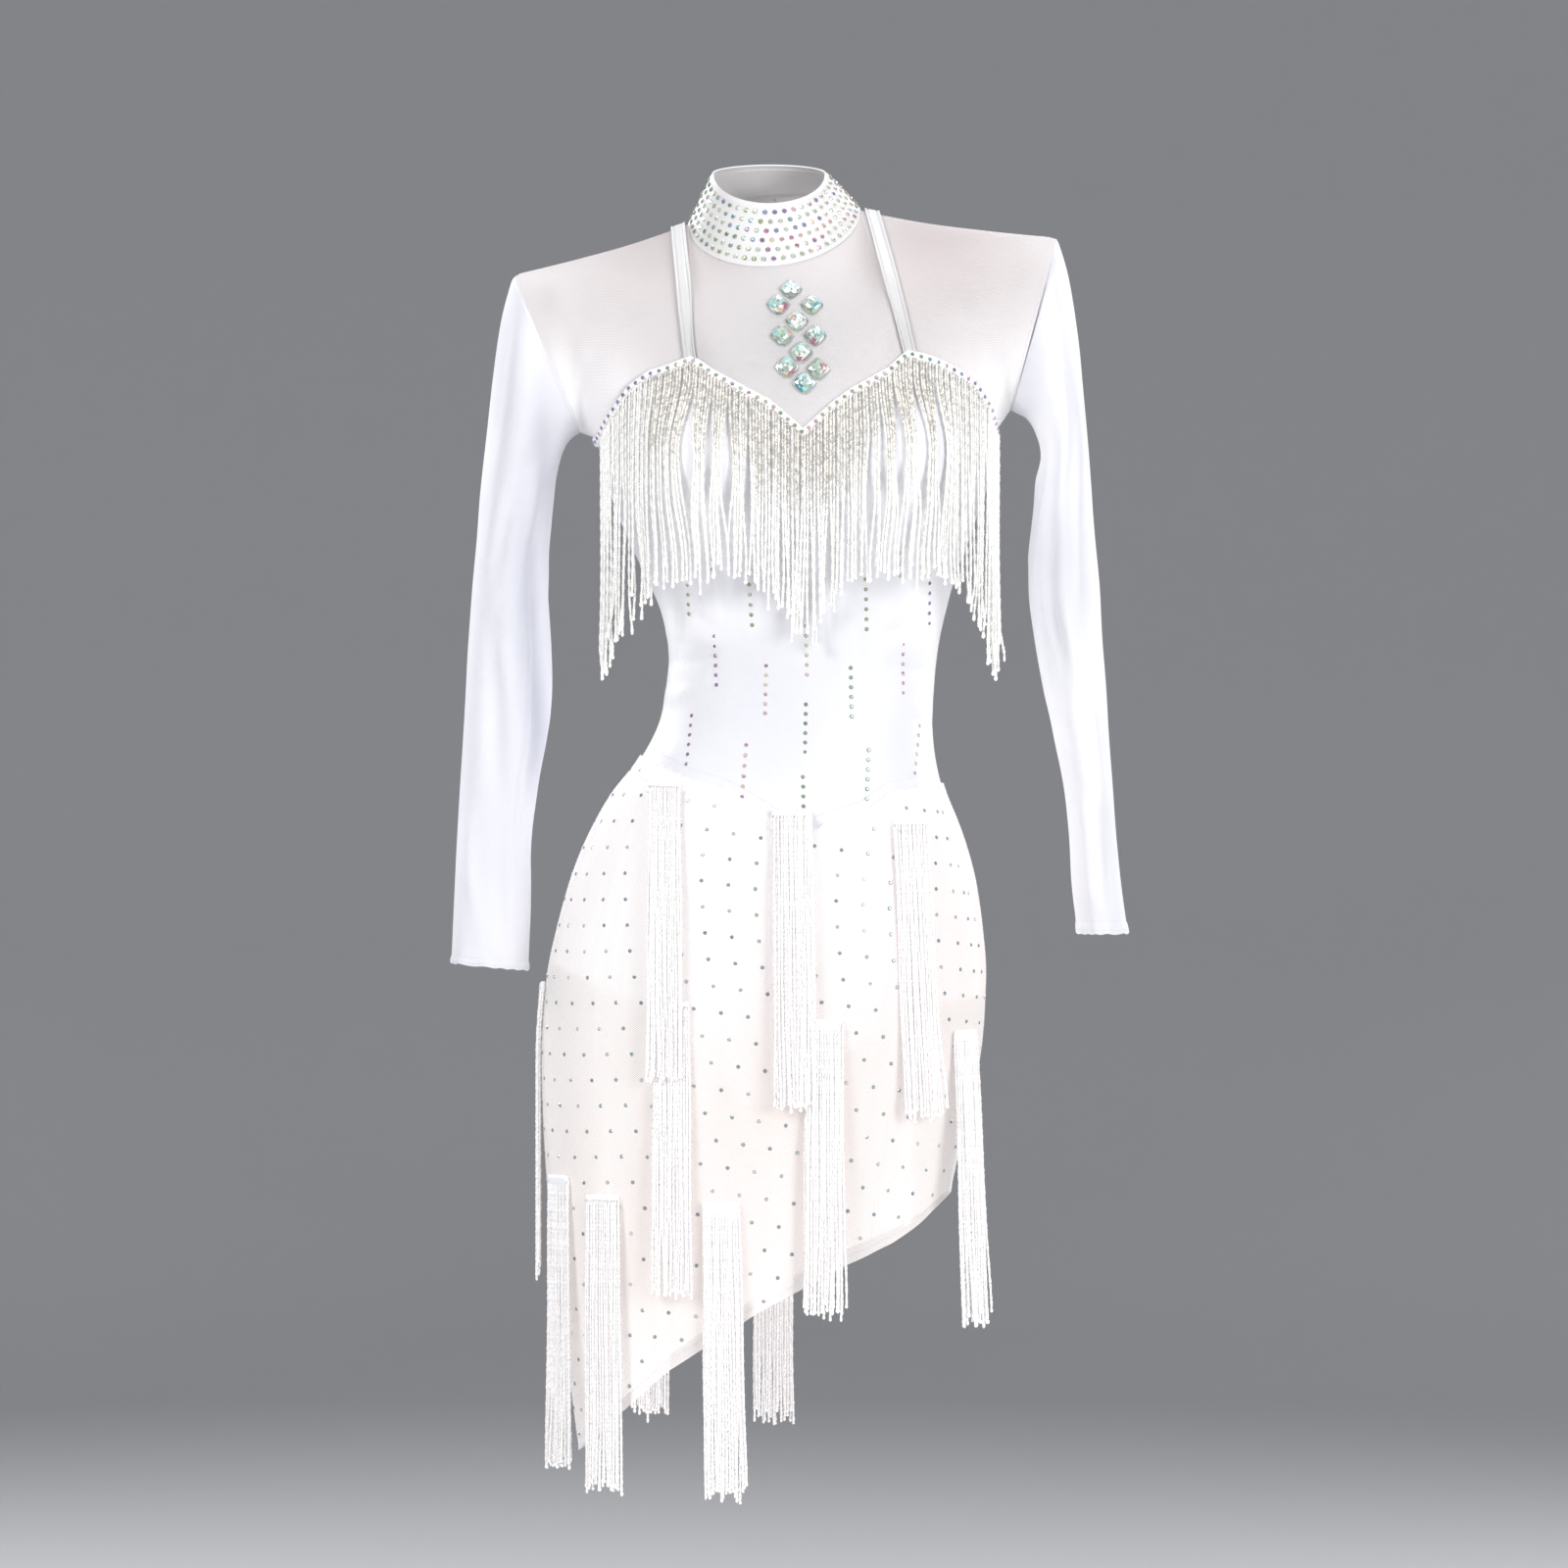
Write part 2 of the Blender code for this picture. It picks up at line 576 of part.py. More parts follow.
def skirt_out(turn, level, seam):
    """How far outside the body the skirt hangs."""
    below = smooth((seam - level) / 30.0)
    out = LAYER + SKIRT_LIFT + SKIRT_EASE * below
    for place, wide, high, start in SKIRT_FOLDS:
        aside = (turn - radians(place) + pi) % (2.0 * pi) - pi
        out += high * exp(-(aside / radians(wide)) ** 2) * smooth((start - level) / 160.0)
    return out


# ---------------------------------------------------------------- the pieces

def body_panel(name, turns, top, bottom, rows, out, gap, material, collection):
    """A panel of the body between two edges; rows are shares of the way down, and out gives
    its layer at a turn and level."""
    grid = []
    for row in rows:
        line = []
        for turn in turns:
            high, low = top(turn), bottom(turn)
            level = high + (low - high) * row
            point, normal = body_point(turn, level, out(turn, level, high))
            point.y += gap
            line.append((point, normal))
        grid.append(line)
    return wall(name, grid, material, collection)


def even_turns(first, last, count):
    return [first + (last - first) * step / count for step in range(count + 1)]


def front_turns():
    """Turns of the columns that the front pieces share, with one at each corner of the
    neckline."""
    turns = [-pi / 2.0, radians(-80.0), radians(74.0), radians(82.0), pi / 2.0]
    places = [row[0] for row in NECKLINE[2:-1]] + list(EXTRA_COLUMNS)
    for across in places:
        turns.append(turn_at(across, read_line(NECKLINE, across), True))
    return sorted(turns)


def front_columns():
    """The same columns, as places across the yoke."""
    table = [(turn, across) for across, turn in yoke_turns(True)]
    return [read_line(table, turn) for turn in front_turns()]


def back_turns():
    """Turns of the columns that the back pieces share, the same as the yoke's."""
    places = back_columns(-1.0)[1:] + [0.0] + back_columns(1.0)[1:]
    return sorted(pi - read_line(YOKE_TURNS[False], across) for across in places)


def make_bodice(material, collection):
    def front_top(turn):
        return edge_level(turn, NECKLINE) - SEAM / 2.0

    def front_foot(turn):
        return edge_level(turn, SKIRT_SEAM) + SEAM / 2.0

    def back_top(turn):
        return edge_level(turn, BACK_EDGE) - SEAM / 2.0

    def back_foot(turn):
        return edge_level(turn, BACK_SEAM) + SEAM / 2.0

    def plain(turn, level, high):
        return 0.0

    body_panel("bodice_front", front_turns(), front_top, front_foot, BODICE_ROWS, plain,
               -SEAM / 2.0, material, collection)
    body_panel("bodice_back", back_turns(), back_top, back_foot, BACK_ROWS, plain, SEAM / 2.0,
               material, collection)


def tucked(point):
    """Draw the brief in towards the crotch below the hips."""
    share = smooth((TUCK_LEVEL - point.z) / TUCK_TALL)
    return Vector((point.x, point.y * (1.0 - TUCK_SHARE * share), point.z))


def make_brief(material, collection):
    for name, turns, seam, gap in (("brief_front", front_turns(), SKIRT_SEAM, -SEAM / 2.0),
                                   ("brief_back", back_turns(), BACK_SEAM, SEAM / 2.0)):
        grid = []
        for row in BRIEF_ROWS:
            line = []
            for turn in turns:
                high = edge_level(turn, seam) - SEAM / 2.0
                low = edge_level(turn, LEG_LINE)
                level = high + (low - high) * row
                point, normal = body_point(turn, level, -BRIEF_EASE * smooth(row * 3.0))
                point = tucked(point)
                point.y += gap
                line.append((point, normal))
            grid.append(line)
        wall(name, grid, material, collection)
    make_gusset(material, collection)


def make_gusset(material, collection):
    """The strip between the legs that joins the brief's front and back."""
    middle, level = CROTCH
    front = tucked(body_skin(turn_at(middle, level, True), level)).y
    back = tucked(body_skin(turn_at(middle, level, False), level)).y
    grid = []
    for row in range(9):
        share = row / 8.0
        line = []
        for column in range(5):
            half = GUSSET_HALF - GUSSET_NARROWS * sin(pi * share)
            across = middle + half * (column / 2.0 - 1.0)
            slope = Vector((0.0, -cos(pi * share), -0.25 - sin(pi * share)))
            point = Vector((across, front + (back - front) * (0.5 - 0.5 * cos(pi * share)),
                            level - GUSSET_GAP - GUSSET_DROP * sin(pi * share)))
            line.append((point, slope.normalized()))
        grid.append(line)
    wall("brief_gusset", grid, material, collection)


def make_skirt(material, collection):
    def front_top(turn):
        return edge_level(turn, SKIRT_SEAM) + SKIRT_LAP

    def back_top(turn):
        return edge_level(turn, BACK_SEAM) + SKIRT_LAP

    def foot(turn):
        return edge_level(turn, HEM)

    body_panel("skirt_front", even_turns(-pi / 2.0, pi / 2.0, 22), front_top, foot, SKIRT_ROWS,
               skirt_out, -SEAM / 2.0, material, collection)
    body_panel("skirt_back", back_turns(), back_top, foot, SKIRT_ROWS, skirt_out, SEAM / 2.0,
               material, collection)


def back_columns(side):
    """Places across one half of the yoke's back, from its slit to the armhole."""
    return [side * across for across in (YOKE_SLIT,) + BACK_COLUMNS]


def make_yoke(material, collection):
    pieces = (
        ("yoke_front", True, front_columns()),
        ("yoke_back_right", False, back_columns(-1.0)),
        ("yoke_back_left", False, back_columns(1.0)),
    )
    for name, front, columns in pieces:
        gap = -SEAM / 2.0 if front else SEAM / 2.0
        grid = [[yoke_edge(across, front) for across in columns]]
        for rise in YOKE_ROWS:
            grid.append([yoke_point(across, rise, front) for across in columns])
        for line in grid:
            for point, _ in line:
                point.y += gap
        wall(name, grid, material, collection)


def make_collar(material, collection):
    quarter = pi / 2.0 / YOKE_NECK
    turns = [across * quarter for across in front_columns() if abs(across) <= YOKE_NECK + 0.001]
    for side in (-1.0, 1.0):
        turns += [side * pi - across * quarter for across in back_columns(side)
                  if abs(across) < YOKE_NECK - 0.001]
    grid = []
    for row in range(3):
        share = row / 2.0
        line = []
        for turn in sorted(turns):
            point = neck_foot(turn).lerp(neck_rim(turn), share)
            point.z += COLLAR_LIFT * (1.0 - share)
            outward = Vector((sin(turn) / NECK_WIDE, -cos(turn) / NECK_FRONT, 0.004)).normalized()
            line.append((point, outward))
        grid.append(line)
    wall("collar", grid, material, collection)


def make_buttons(material, collection):
    turn = pi - 5.0 / NECK_BACK
    for index, share in enumerate(BUTTON_PLACES):
        point = neck_foot(turn).lerp(neck_rim(turn), share)
        slope = (neck_rim(turn) - neck_foot(turn)).normalized()
        outward = Vector((1.0, 0.0, 0.0)).cross(slope)
        outward = outward if outward.y > 0.0 else -outward
        place = point + outward * (WALL / 2.0 + SEAM + 0.6 + BUTTON_HIGH / 2.0)
        bm = bmesh.new()
        bmesh.ops.create_cone(bm, cap_ends=True, segments=12, radius1=BUTTON_RADIUS,
                              radius2=BUTTON_RADIUS * 0.6, depth=BUTTON_HIGH)
        stand = outward.to_track_quat("Z", "Y").to_matrix().to_4x4()
        bmesh.ops.transform(bm, matrix=Matrix.Translation(place) @ stand, verts=bm.verts)
        finish(f"collar_button_{index + 1}", bm, material, collection)


def make_sleeve(name, table, material, collection):
    grid = []
    for row in range(len(table)):
        outer, inner, girth = sleeve_ends(table, row)
        half = (outer - inner) / 2.0
        deep = sqrt(max(2.0 * (girth / (2.0 * pi)) ** 2 - half.length_squared, 100.0))
        line = []
        for side in range(SLEEVE_SIDES):
            turn = 2.0 * pi * side / SLEEVE_SIDES
            flat = half * cos(turn) + Vector((0.0, deep * sin(turn), 0.0))
            normal = half * cos(turn) / half.length_squared
            normal += Vector((0.0, sin(turn) / deep, 0.0))
            point = (outer + inner) / 2.0 + flat
            if row == 0:
                outward = Vector((0.0, -copysign(1.0, outer.x), 0.0))
                point += half.cross(outward).normalized() * SEAM
            line.append((point, normal.normalized()))
        grid.append(line)
    wall(name, grid, material, collection, loop=True)


def make_strap(name, side, material, collection):
    """A flat band on the yoke from the bodice's front, over the shoulder, to its back."""
    grid = []
    for front in (True, False):
        rises = (STRAP_START,) + YOKE_ROWS[1:]
        for rise in rises if front else reversed(rises):
            middle = side * (YOKE_NECK + STRAP_LEAN * rise)
            here = yoke_skin(middle, rise, front)
            stretch = (yoke_skin(middle + side * STEP, rise, front) - here).length / STEP
            half = STRAP_WIDE / 2.0 / stretch
            grid.append([yoke_point(middle + half * share, rise, front, LAYER + STRAP_EASE)
                         for share in (-1.0, 0.0, 1.0)])
    wall(name, grid, material, collection)


def yoke_bow(across, rise, normal):
    """How far the yoke bows out past the flat back of a crystal that sits on it."""
    here = yoke_skin(across, rise, True)
    wide = CRYSTAL_RADIUS / (yoke_skin(across + STEP, rise, True) - here).length * STEP
    tall = CRYSTAL_RADIUS / (yoke_skin(across, rise + STEP, True) - here).length * STEP
    around = even_turns(0.0, 2.0 * pi, 12)
    return max((yoke_skin(across + wide * cos(turn), rise + tall * sin(turn), True) - here)
               .dot(normal) for turn in around)


def make_crystals(material, collection):
    for index, (x, level) in enumerate(CRYSTALS):
        across, rise = yoke_place(x, level)
        point, normal = yoke_point(across, rise, True)
        point += normal * (WALL / 2.0 + SEAM + CRYSTAL_EASE + yoke_bow(across, rise, normal))
        bm = bmesh.new()
        bmesh.ops.create_cone(bm, cap_ends=True, segments=4, radius1=CRYSTAL_RADIUS,
                              radius2=CRYSTAL_TABLE, depth=CRYSTAL_HIGH)
        slanted = [edge for edge in bm.edges
                   if abs(edge.verts[0].co.z - edge.verts[1].co.z) > CRYSTAL_HIGH / 2.0]
        bmesh.ops.bevel(bm, geom=slanted, offset=1.6, segments=1, affect="EDGES")
        bmesh.ops.translate(bm, vec=(0.0, 0.0, CRYSTAL_HIGH / 2.0), verts=bm.verts)
        up = Vector((0.0, 0.0, 1.0))
        side = up.cross(normal).normalized()
        rise_way = normal.cross(side)
        stand = Matrix((side, rise_way, normal)).transposed().to_4x4()
        bmesh.ops.transform(bm, matrix=Matrix.Translation(point) @ stand, verts=bm.verts)
        finish(f"crystal_{index + 1:02d}", bm, material, collection)


def fringe_shift(across):
    """Sideways push that opens the partings over the cups, as a function of a strand's share."""
    push = 0.0
    for place, wide, size in FRINGE_PARTINGS:
        aside = (across - place) / wide
        push += size * aside * exp(0.5 - aside * aside / 2.0)
    return lambda share: push * smooth(share * 2.2) * (1.0 - 0.55 * smooth(share * 1.6 - 0.6))


def make_fringe(material, collection):
    """A tape along the neckline with the bead strands that hang from it."""
    samples = even_turns(*FRINGE_TURNS, 600)
    out = LAYER + TAPE_EASE
    line = [body_point(turn, edge_level(turn, NECKLINE) - 1.0, out)[0] for turn in samples]
    lengths = [0.0]
    for before, after in zip(line, line[1:]):
        lengths.append(lengths[-1] + (after - before).xy.length)
    turn_by_length = list(zip(lengths, samples))
    pitch = lengths[-1] / FRINGE_STRANDS
    stations, paths = [], []
    for strand in range(FRINGE_STRANDS):
        for share in (0.5 - STRAND_SHARE / 2.0, 0.5 + STRAND_SHARE / 2.0):
            turn = read_line(turn_by_length, (strand + share) * pitch)
            level = edge_level(turn, NECKLINE) - 1.0
            top, normal = body_point(turn, level, out)
            stations.append((top, body_point(turn, level - FRINGE_TAPE, out)[0], normal))
        root = (stations[-1][1] + stations[-2][1]) / 2.0
        bottom = read_line(FRINGE_ENDS, root.x) + sway(strand, FRINGE_JITTER)
        paths.append(hang(root, hang_way(0.0), bottom, LAYER + FRINGE_EASE, FRINGE_TOLERANCE,
                          shift=fringe_shift(root.x)))
    first, last = stations[0], stations[-1]
    stations = [first] + stations + [last]
    stations[0] = shifted_station(first, -1.0)
    stations[-1] = shifted_station(last, 1.0)
    comb("bust_fringe", stations, WALL, paths, material, collection)


def shifted_station(station, side):
    """A tape's end, a little beyond its last strand."""
    top, bottom, normal = station
    aside = Vector((-normal.y, normal.x, 0.0)).normalized() * side
    return top + aside, bottom + aside, normal


def make_tassel(index, material, collection):
    """A flat head on the skirt with its strands, all hanging side by side."""
    name, across, level, lean, lift, front = TASSELS[index]
    seam = SKIRT_SEAM if front else BACK_SEAM
    turn = turn_at(across, level, front)
    high = edge_level(turn, seam) + SKIRT_LAP
    middle, _ = body_point(turn, level)
    away = hang_way(turn)
    sides_of_radius = (body_skin(turn + STEP, level) - middle).length / STEP
    stations, paths = [], []
    pitch = TASSEL_WIDE / TASSEL_STRANDS
    thick = TASSEL_THICK
    spans = []
    for strand in range(TASSEL_STRANDS):
        spans += [(strand + 0.14) * pitch, (strand + 0.86) * pitch]
    spans = [0.0] + spans + [TASSEL_WIDE]
    for place in spans:
        here = turn + (place - TASSEL_WIDE / 2.0) / sides_of_radius
        out = skirt_out(here, level, high) + WALL / 2.0 + SEAM + TASSEL_EASE + thick / 2.0
        top, own = body_point(here, level, out)
        flat = Vector((own.x, own.y, 0.0)).normalized()
        bottom = Vector((top.x, top.y, level - TASSEL_HEAD))
        lower, _ = body_point(here, level - TASSEL_HEAD, out)
        if (lower - bottom).dot(flat) > 0.0:
            bottom = lower
        stations.append((top, bottom, flat))
    for strand in range(TASSEL_STRANDS):
        first, second = stations[1 + 2 * strand], stations[2 + 2 * strand]
        root = (first[1] + second[1]) / 2.0
        foot = level - TASSEL_LONG + sway(strand + 17 * index, TASSEL_JITTER)
        levels = [level + (foot - level) * step / 6.0 for step in range(7)]
        folds = max(skirt_out(turn_at(across, low, front), low, high) for low in levels)
        clear = folds + WALL / 2.0 + SEAM + TASSEL_EASE + thick / 2.0
        paths.append(hang(root, away, foot, clear, TASSEL_TOLERANCE, lean=lean, lift=lift))
    comb(name, stations, thick, paths, material, collection)


def main():
    for obj in list(bpy.data.objects):
        bpy.data.objects.remove(obj, do_unlink=True)
    collection = bpy.data.collections.new("ballroom_dance_dress")
    bpy.context.scene.collection.children.link(collection)
    lycra = cloth_material("white_lycra", (0.86, 0.87, 0.92), 0.5)
    mesh = cloth_material("sheer_mesh", (0.80, 0.79, 0.82), 0.7)
    skirting = cloth_material("skirt_mesh", (0.90, 0.87, 0.87), 0.7)
    fringe = cloth_material("glitter_fringe", (0.82, 0.80, 0.76), 0.35)
    tassel = cloth_material("tassel_fringe", (0.90, 0.89, 0.88), 0.45)
    crystal = cloth_material("crystal", (0.70, 0.86, 0.84), 0.05, 0.3)
    button = cloth_material("button", (0.90, 0.89, 0.88), 0.3)

    make_bodice(lycra, collection)
    make_brief(lycra, collection)
    make_skirt(skirting, collection)
    make_yoke(mesh, collection)
    make_collar(lycra, collection)
    make_buttons(button, collection)
    make_sleeve("sleeve_right", SLEEVE_RIGHT, mesh, collection)
    make_sleeve("sleeve_left", SLEEVE_LEFT, mesh, collection)
    make_strap("strap_right", -1.0, lycra, collection)
    make_strap("strap_left", 1.0, lycra, collection)
    make_crystals(crystal, collection)
    make_fringe(fringe, collection)
    for index in range(len(TASSELS)):
        make_tassel(index, tassel, collection)


main()
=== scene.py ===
import math

import bmesh
import bpy
import numpy as np
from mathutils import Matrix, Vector


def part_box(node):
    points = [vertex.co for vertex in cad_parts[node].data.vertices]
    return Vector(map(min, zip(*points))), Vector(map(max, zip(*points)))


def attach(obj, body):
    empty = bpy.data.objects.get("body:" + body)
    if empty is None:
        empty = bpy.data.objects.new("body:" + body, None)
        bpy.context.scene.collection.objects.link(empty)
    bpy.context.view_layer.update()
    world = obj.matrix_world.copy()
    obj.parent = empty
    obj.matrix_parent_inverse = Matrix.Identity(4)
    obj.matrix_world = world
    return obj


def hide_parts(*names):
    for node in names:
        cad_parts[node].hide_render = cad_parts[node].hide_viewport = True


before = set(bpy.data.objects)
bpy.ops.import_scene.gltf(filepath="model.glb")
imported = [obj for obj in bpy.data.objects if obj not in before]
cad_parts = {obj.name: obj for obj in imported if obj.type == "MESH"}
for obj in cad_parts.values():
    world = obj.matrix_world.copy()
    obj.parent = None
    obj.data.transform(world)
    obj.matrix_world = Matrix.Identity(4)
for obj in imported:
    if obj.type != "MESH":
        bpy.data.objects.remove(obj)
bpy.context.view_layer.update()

# A worn ballroom dance dress. Tables and surfaces are in millimetres, meshes in metres.
# +Z is up, the front faces -Y, and the wearer's left is +X.
pi = math.pi
mm = 0.001
step = 0.01
roundness = 2.3
anyPhase = 6.3

body = {
    # level, left edge, right edge, depth before and behind the side seams
    "sections": (
        (-90, -151, 188, 82, 92), (-154, -149, 186, 91, 97),
        (-172, -145.5, 182, 93, 98), (-188, -140.5, 181, 93, 98),
        (-220, -132.5, 174, 92, 96), (-252, -120.5, 163, 90, 91),
        (-284, -106, 151, 88, 85), (-316, -91.5, 142, 85, 80),
        (-348, -84.5, 135, 83, 78), (-380, -86, 131.5, 83, 80),
        (-412, -92.5, 130, 86, 87), (-444, -109.5, 133.5, 91, 97),
        (-476, -131.5, 142, 97, 108), (-508, -148.5, 153.5, 102, 117),
        (-540, -161, 162, 105, 124), (-588, -174, 168.5, 107, 129),
        (-620, -180, 170, 107, 130), (-684, -184, 165, 105, 127),
        (-780, -180, 143.5, 100, 117), (-876, -169.5, 127, 95, 108),
        (-1012, -152, 112, 90, 98)),
    "cupAcross": 90, "cupLevel": -198, "cupWide": 50, "cupTall": 54, "cupDeep": 27,
}
edges = {
    # across, level
    "neckline": (
        (-156, -174.5), (-141, -178), (-133, -164), (-114.5, -139), (-99, -128),
        (-86.5, -124.5), (-72, -119), (-65, -116), (-57.5, -120.5), (-46.5, -128.5),
        (-20, -143), (-1, -153), (25, -175), (49.5, -153.5), (64, -143),
        (92, -127), (109, -111), (130.5, -117), (148, -125), (163, -134.5),
        (175, -153.5), (181.5, -172)),
    "neckCorners": (-65, 25, 109),
    "backEdge": ((-156, -174.5), (-141, -178), (-100, -186), (20, -200),
                 (140, -182), (181.5, -172)),
    "skirtSeam": (
        (-103, -441), (-69.5, -459), (-33.5, -470), (11, -495), (27, -501),
        (47, -493), (76, -484), (92, -471), (125.5, -463.5), (138, -462.5)),
    "backSeam": ((-103, -441), (20, -482), (138, -462.5)),
    "hem": (
        (-157, -1006), (-142.5, -990), (-118.5, -966), (-82.5, -932), (-29, -896),
        (-10.5, -884), (57.5, -846), (93.5, -829.5), (117.5, -812), (147, -786)),
    "legLine": (
        (-180, -605), (-142, -621), (-105, -637), (-72, -666), (-40, -698),
        (-3, -700), (34, -698), (72, -666), (112, -640), (170, -632)),
}


def smooth(value):
    value = np.clip(value, 0, 1)
    return value * value * (3 - 2 * value)


def bell(value):
    return np.exp(-value ** 2)


def unit(vectors):
    return vectors / (np.linalg.norm(vectors, axis=-1, keepdims=True) + 1e-12)


def readLine(table, key):
    rows = np.array(sorted(table), float)
    return np.interp(key, rows[:, 0], rows[:, 1])


def readCurve(table, key):    # a smooth curve through a table's rows
    rows = np.array(sorted(table), float)
    keys = rows[:, 0]
    key = np.asarray(key, float)
    at = np.clip(np.searchsorted(keys, key, side="right") - 1, 0, len(keys) - 2)
    before, after = np.maximum(at - 1, 0), np.minimum(at + 2, len(keys) - 1)
    span = (keys[at + 1] - keys[at])[..., None]
    share = np.clip((key - keys[at])[..., None] / span, 0, 1)
    start, end = rows[at, 1:], rows[at + 1, 1:]
    leave = (end - rows[before, 1:]) / (keys[at + 1] - keys[before])[..., None] * span
    arrive = (rows[after, 1:] - start) / (keys[after] - keys[at])[..., None] * span
    rise = end - start
    bend = leave + arrive - 2 * rise
    return start + share * (leave + share * (rise - leave - bend * (1 - share)))


def bodyRows(level):
    left, right, ahead, behind = np.moveaxis(readCurve(body["sections"], level), -1, 0)
    return (left + right) / 2, (right - left) / 2, ahead, behind


def cup(x, middle, level):    # how far the bust stands out
    depth = 0
    for side in (-1, 1):
        aside = (x - middle - side * body["cupAcross"]) / body["cupWide"]
        away = (level - body["cupLevel"]) / body["cupTall"]
        depth = depth + body["cupDeep"] * np.exp(-aside * aside - away * away)
    return depth


def bodySkin(turn, level):    # turn 0 is the middle of the front, a right angle the +X side seam
    turn, level = np.broadcast_arrays(np.asarray(turn, float), np.asarray(level, float))
    middle, half, ahead, behind = bodyRows(level)
    across, facing = np.sin(turn), np.cos(turn)
    x = middle + half * np.sign(across) * np.abs(across) ** (2 / roundness)
    depth = np.where(facing > 0, ahead, behind)
    y = -depth * np.sign(facing) * np.abs(facing) ** (2 / roundness)
    y = y - np.where(facing > 0, cup(x, middle, level) * np.clip(2 * facing, 0, 1), 0)
    return np.stack([x, y, level], -1)


def bodyPoint(turn, level, out=0):
    along = bodySkin(turn + step, level) - bodySkin(turn - step, level)
    up = bodySkin(turn, level + 1) - bodySkin(turn, level - 1)
    normal = unit(np.cross(along, up))
    return bodySkin(turn, level) + normal * np.asarray(out)[..., None], normal


def edgeLevel(turn, name):    # level at which an edge crosses this turn of the body
    level = np.full(np.shape(turn), edges[name][0][1], float)
    for _ in range(14):       # each round goes part of the way, so that it settles
        level = level + 0.6 * (readLine(edges[name], bodySkin(turn, level)[..., 0]) - level)
    return level


def turnAt(x, level, front=True):
    middle, half, _, _ = bodyRows(level)
    share = np.clip((x - middle) / half, -0.9999, 0.9999)
    turn = np.arcsin(np.sign(share) * np.abs(share) ** (roundness / 2))
    return turn if front else pi - turn


neck = {
    # the collar's foot and rim: middle across and deep, half width, depth before and behind,
    # level, tilt, dip in front, dip behind
    "foot": (1.8, 0, 69.5, 62, 58, 2.5, 5.5, 44.2, 20),
    "rim": (-2.5, -5, 45.5, 44, 42, 38, 0, 28, 10),
}
yoke = {
    "neck": 0.5,             # share of its columns that end at the collar
    "slit": 0.004,           # half the opening down its back
    "sag": 3,
    "depth": ((0, 87, 95), (0.5, 81, 88), (0.7, 76, 86), (0.85, 68, 76),
              (1, 57, 57)),
    "columns": 56, "rows": 56, "thick": 0.7,
}
sleeves = {
    # outer across, outer level, inner across, inner level, girth
    "right": (
        (-211, -44.8, -156.8, -172.8, 399), (-220.5, -80, -163.5, -177.5, 372),
        (-227, -124, -169, -184.5, 338), (-232.5, -172, -174, -198, 305),
        (-237.5, -220, -179.5, -225, 280), (-240.5, -260, -184, -260, 265),
        (-244.5, -300, -183.5, -300, 257), (-248, -348, -180.5, -348, 250),
        (-250, -388, -180, -388, 243), (-252.5, -428, -184, -428, 234),
        (-254.5, -460, -190, -460, 223), (-256.5, -500, -195.5, -500, 210),
        (-258.5, -540, -196.5, -540, 197), (-260.5, -580, -198, -580, 184),
        (-261.5, -606, -199.5, -612, 174)),
    "left": (
        (232, -14.4, 194.4, -154.4, 402), (242, -48, 200, -157.5, 374),
        (249.5, -96, 208, -162, 340), (253.5, -136, 215, -173, 306),
        (257.5, -180, 219.5, -190, 281), (260, -216, 217, -216, 268),
        (262.5, -256, 213, -256, 260), (267, -300, 209.5, -300, 255),
        (269, -340, 214, -340, 249), (272, -380, 221, -380, 242),
        (274.5, -420, 229, -420, 232), (277.5, -460, 237.5, -460, 221),
        (280, -500, 242, -500, 208), (284, -540, 244.5, -540, 195),
        (290, -582, 249.5, -582, 176)),
    "sides": 64, "rows": 170, "thick": 0.7,
}


def neckRing(turn, part):
    middle, deep, wide, front, back, level, tilt, dip, rise = neck[part]
    ahead, aside = np.cos(turn), np.sin(turn)
    depth = np.where(ahead > 0, front, back)
    lift = np.where(ahead > 0, -dip, -rise)
    return np.stack([middle + wide * aside, deep - depth * ahead,
                     level + tilt * aside + lift * ahead], -1)


def yokeTurnTable(front):
    if front:
        peaks = [float(turnAt(x, readLine(edges["neckline"], x))) for x in edges["neckCorners"]]
    else:
        peaks = [math.radians(-32), 0, math.radians(32)]
    return ((-1, -pi / 2), (-yoke["neck"], peaks[0]), (0, peaks[1]),
            (yoke["neck"], peaks[2]), (1, pi / 2))


def yokeEdge(across, front):
    turn = readLine(yokeTurnTable(front), across)
    turn = turn if front else pi - turn
    return bodyPoint(turn, edgeLevel(turn, "neckline" if front else "backEdge"))[0]


def yokeShare(across, rise):
    over = smooth((np.abs(across) - yoke["neck"]) / 0.3)
    share = rise + (np.sin(pi / 2 * rise) - rise) * over
    around = smooth((np.abs(across) - 0.88) / 0.12)
    return share + ((1 - np.cos(pi * rise)) / 2 - share) * around


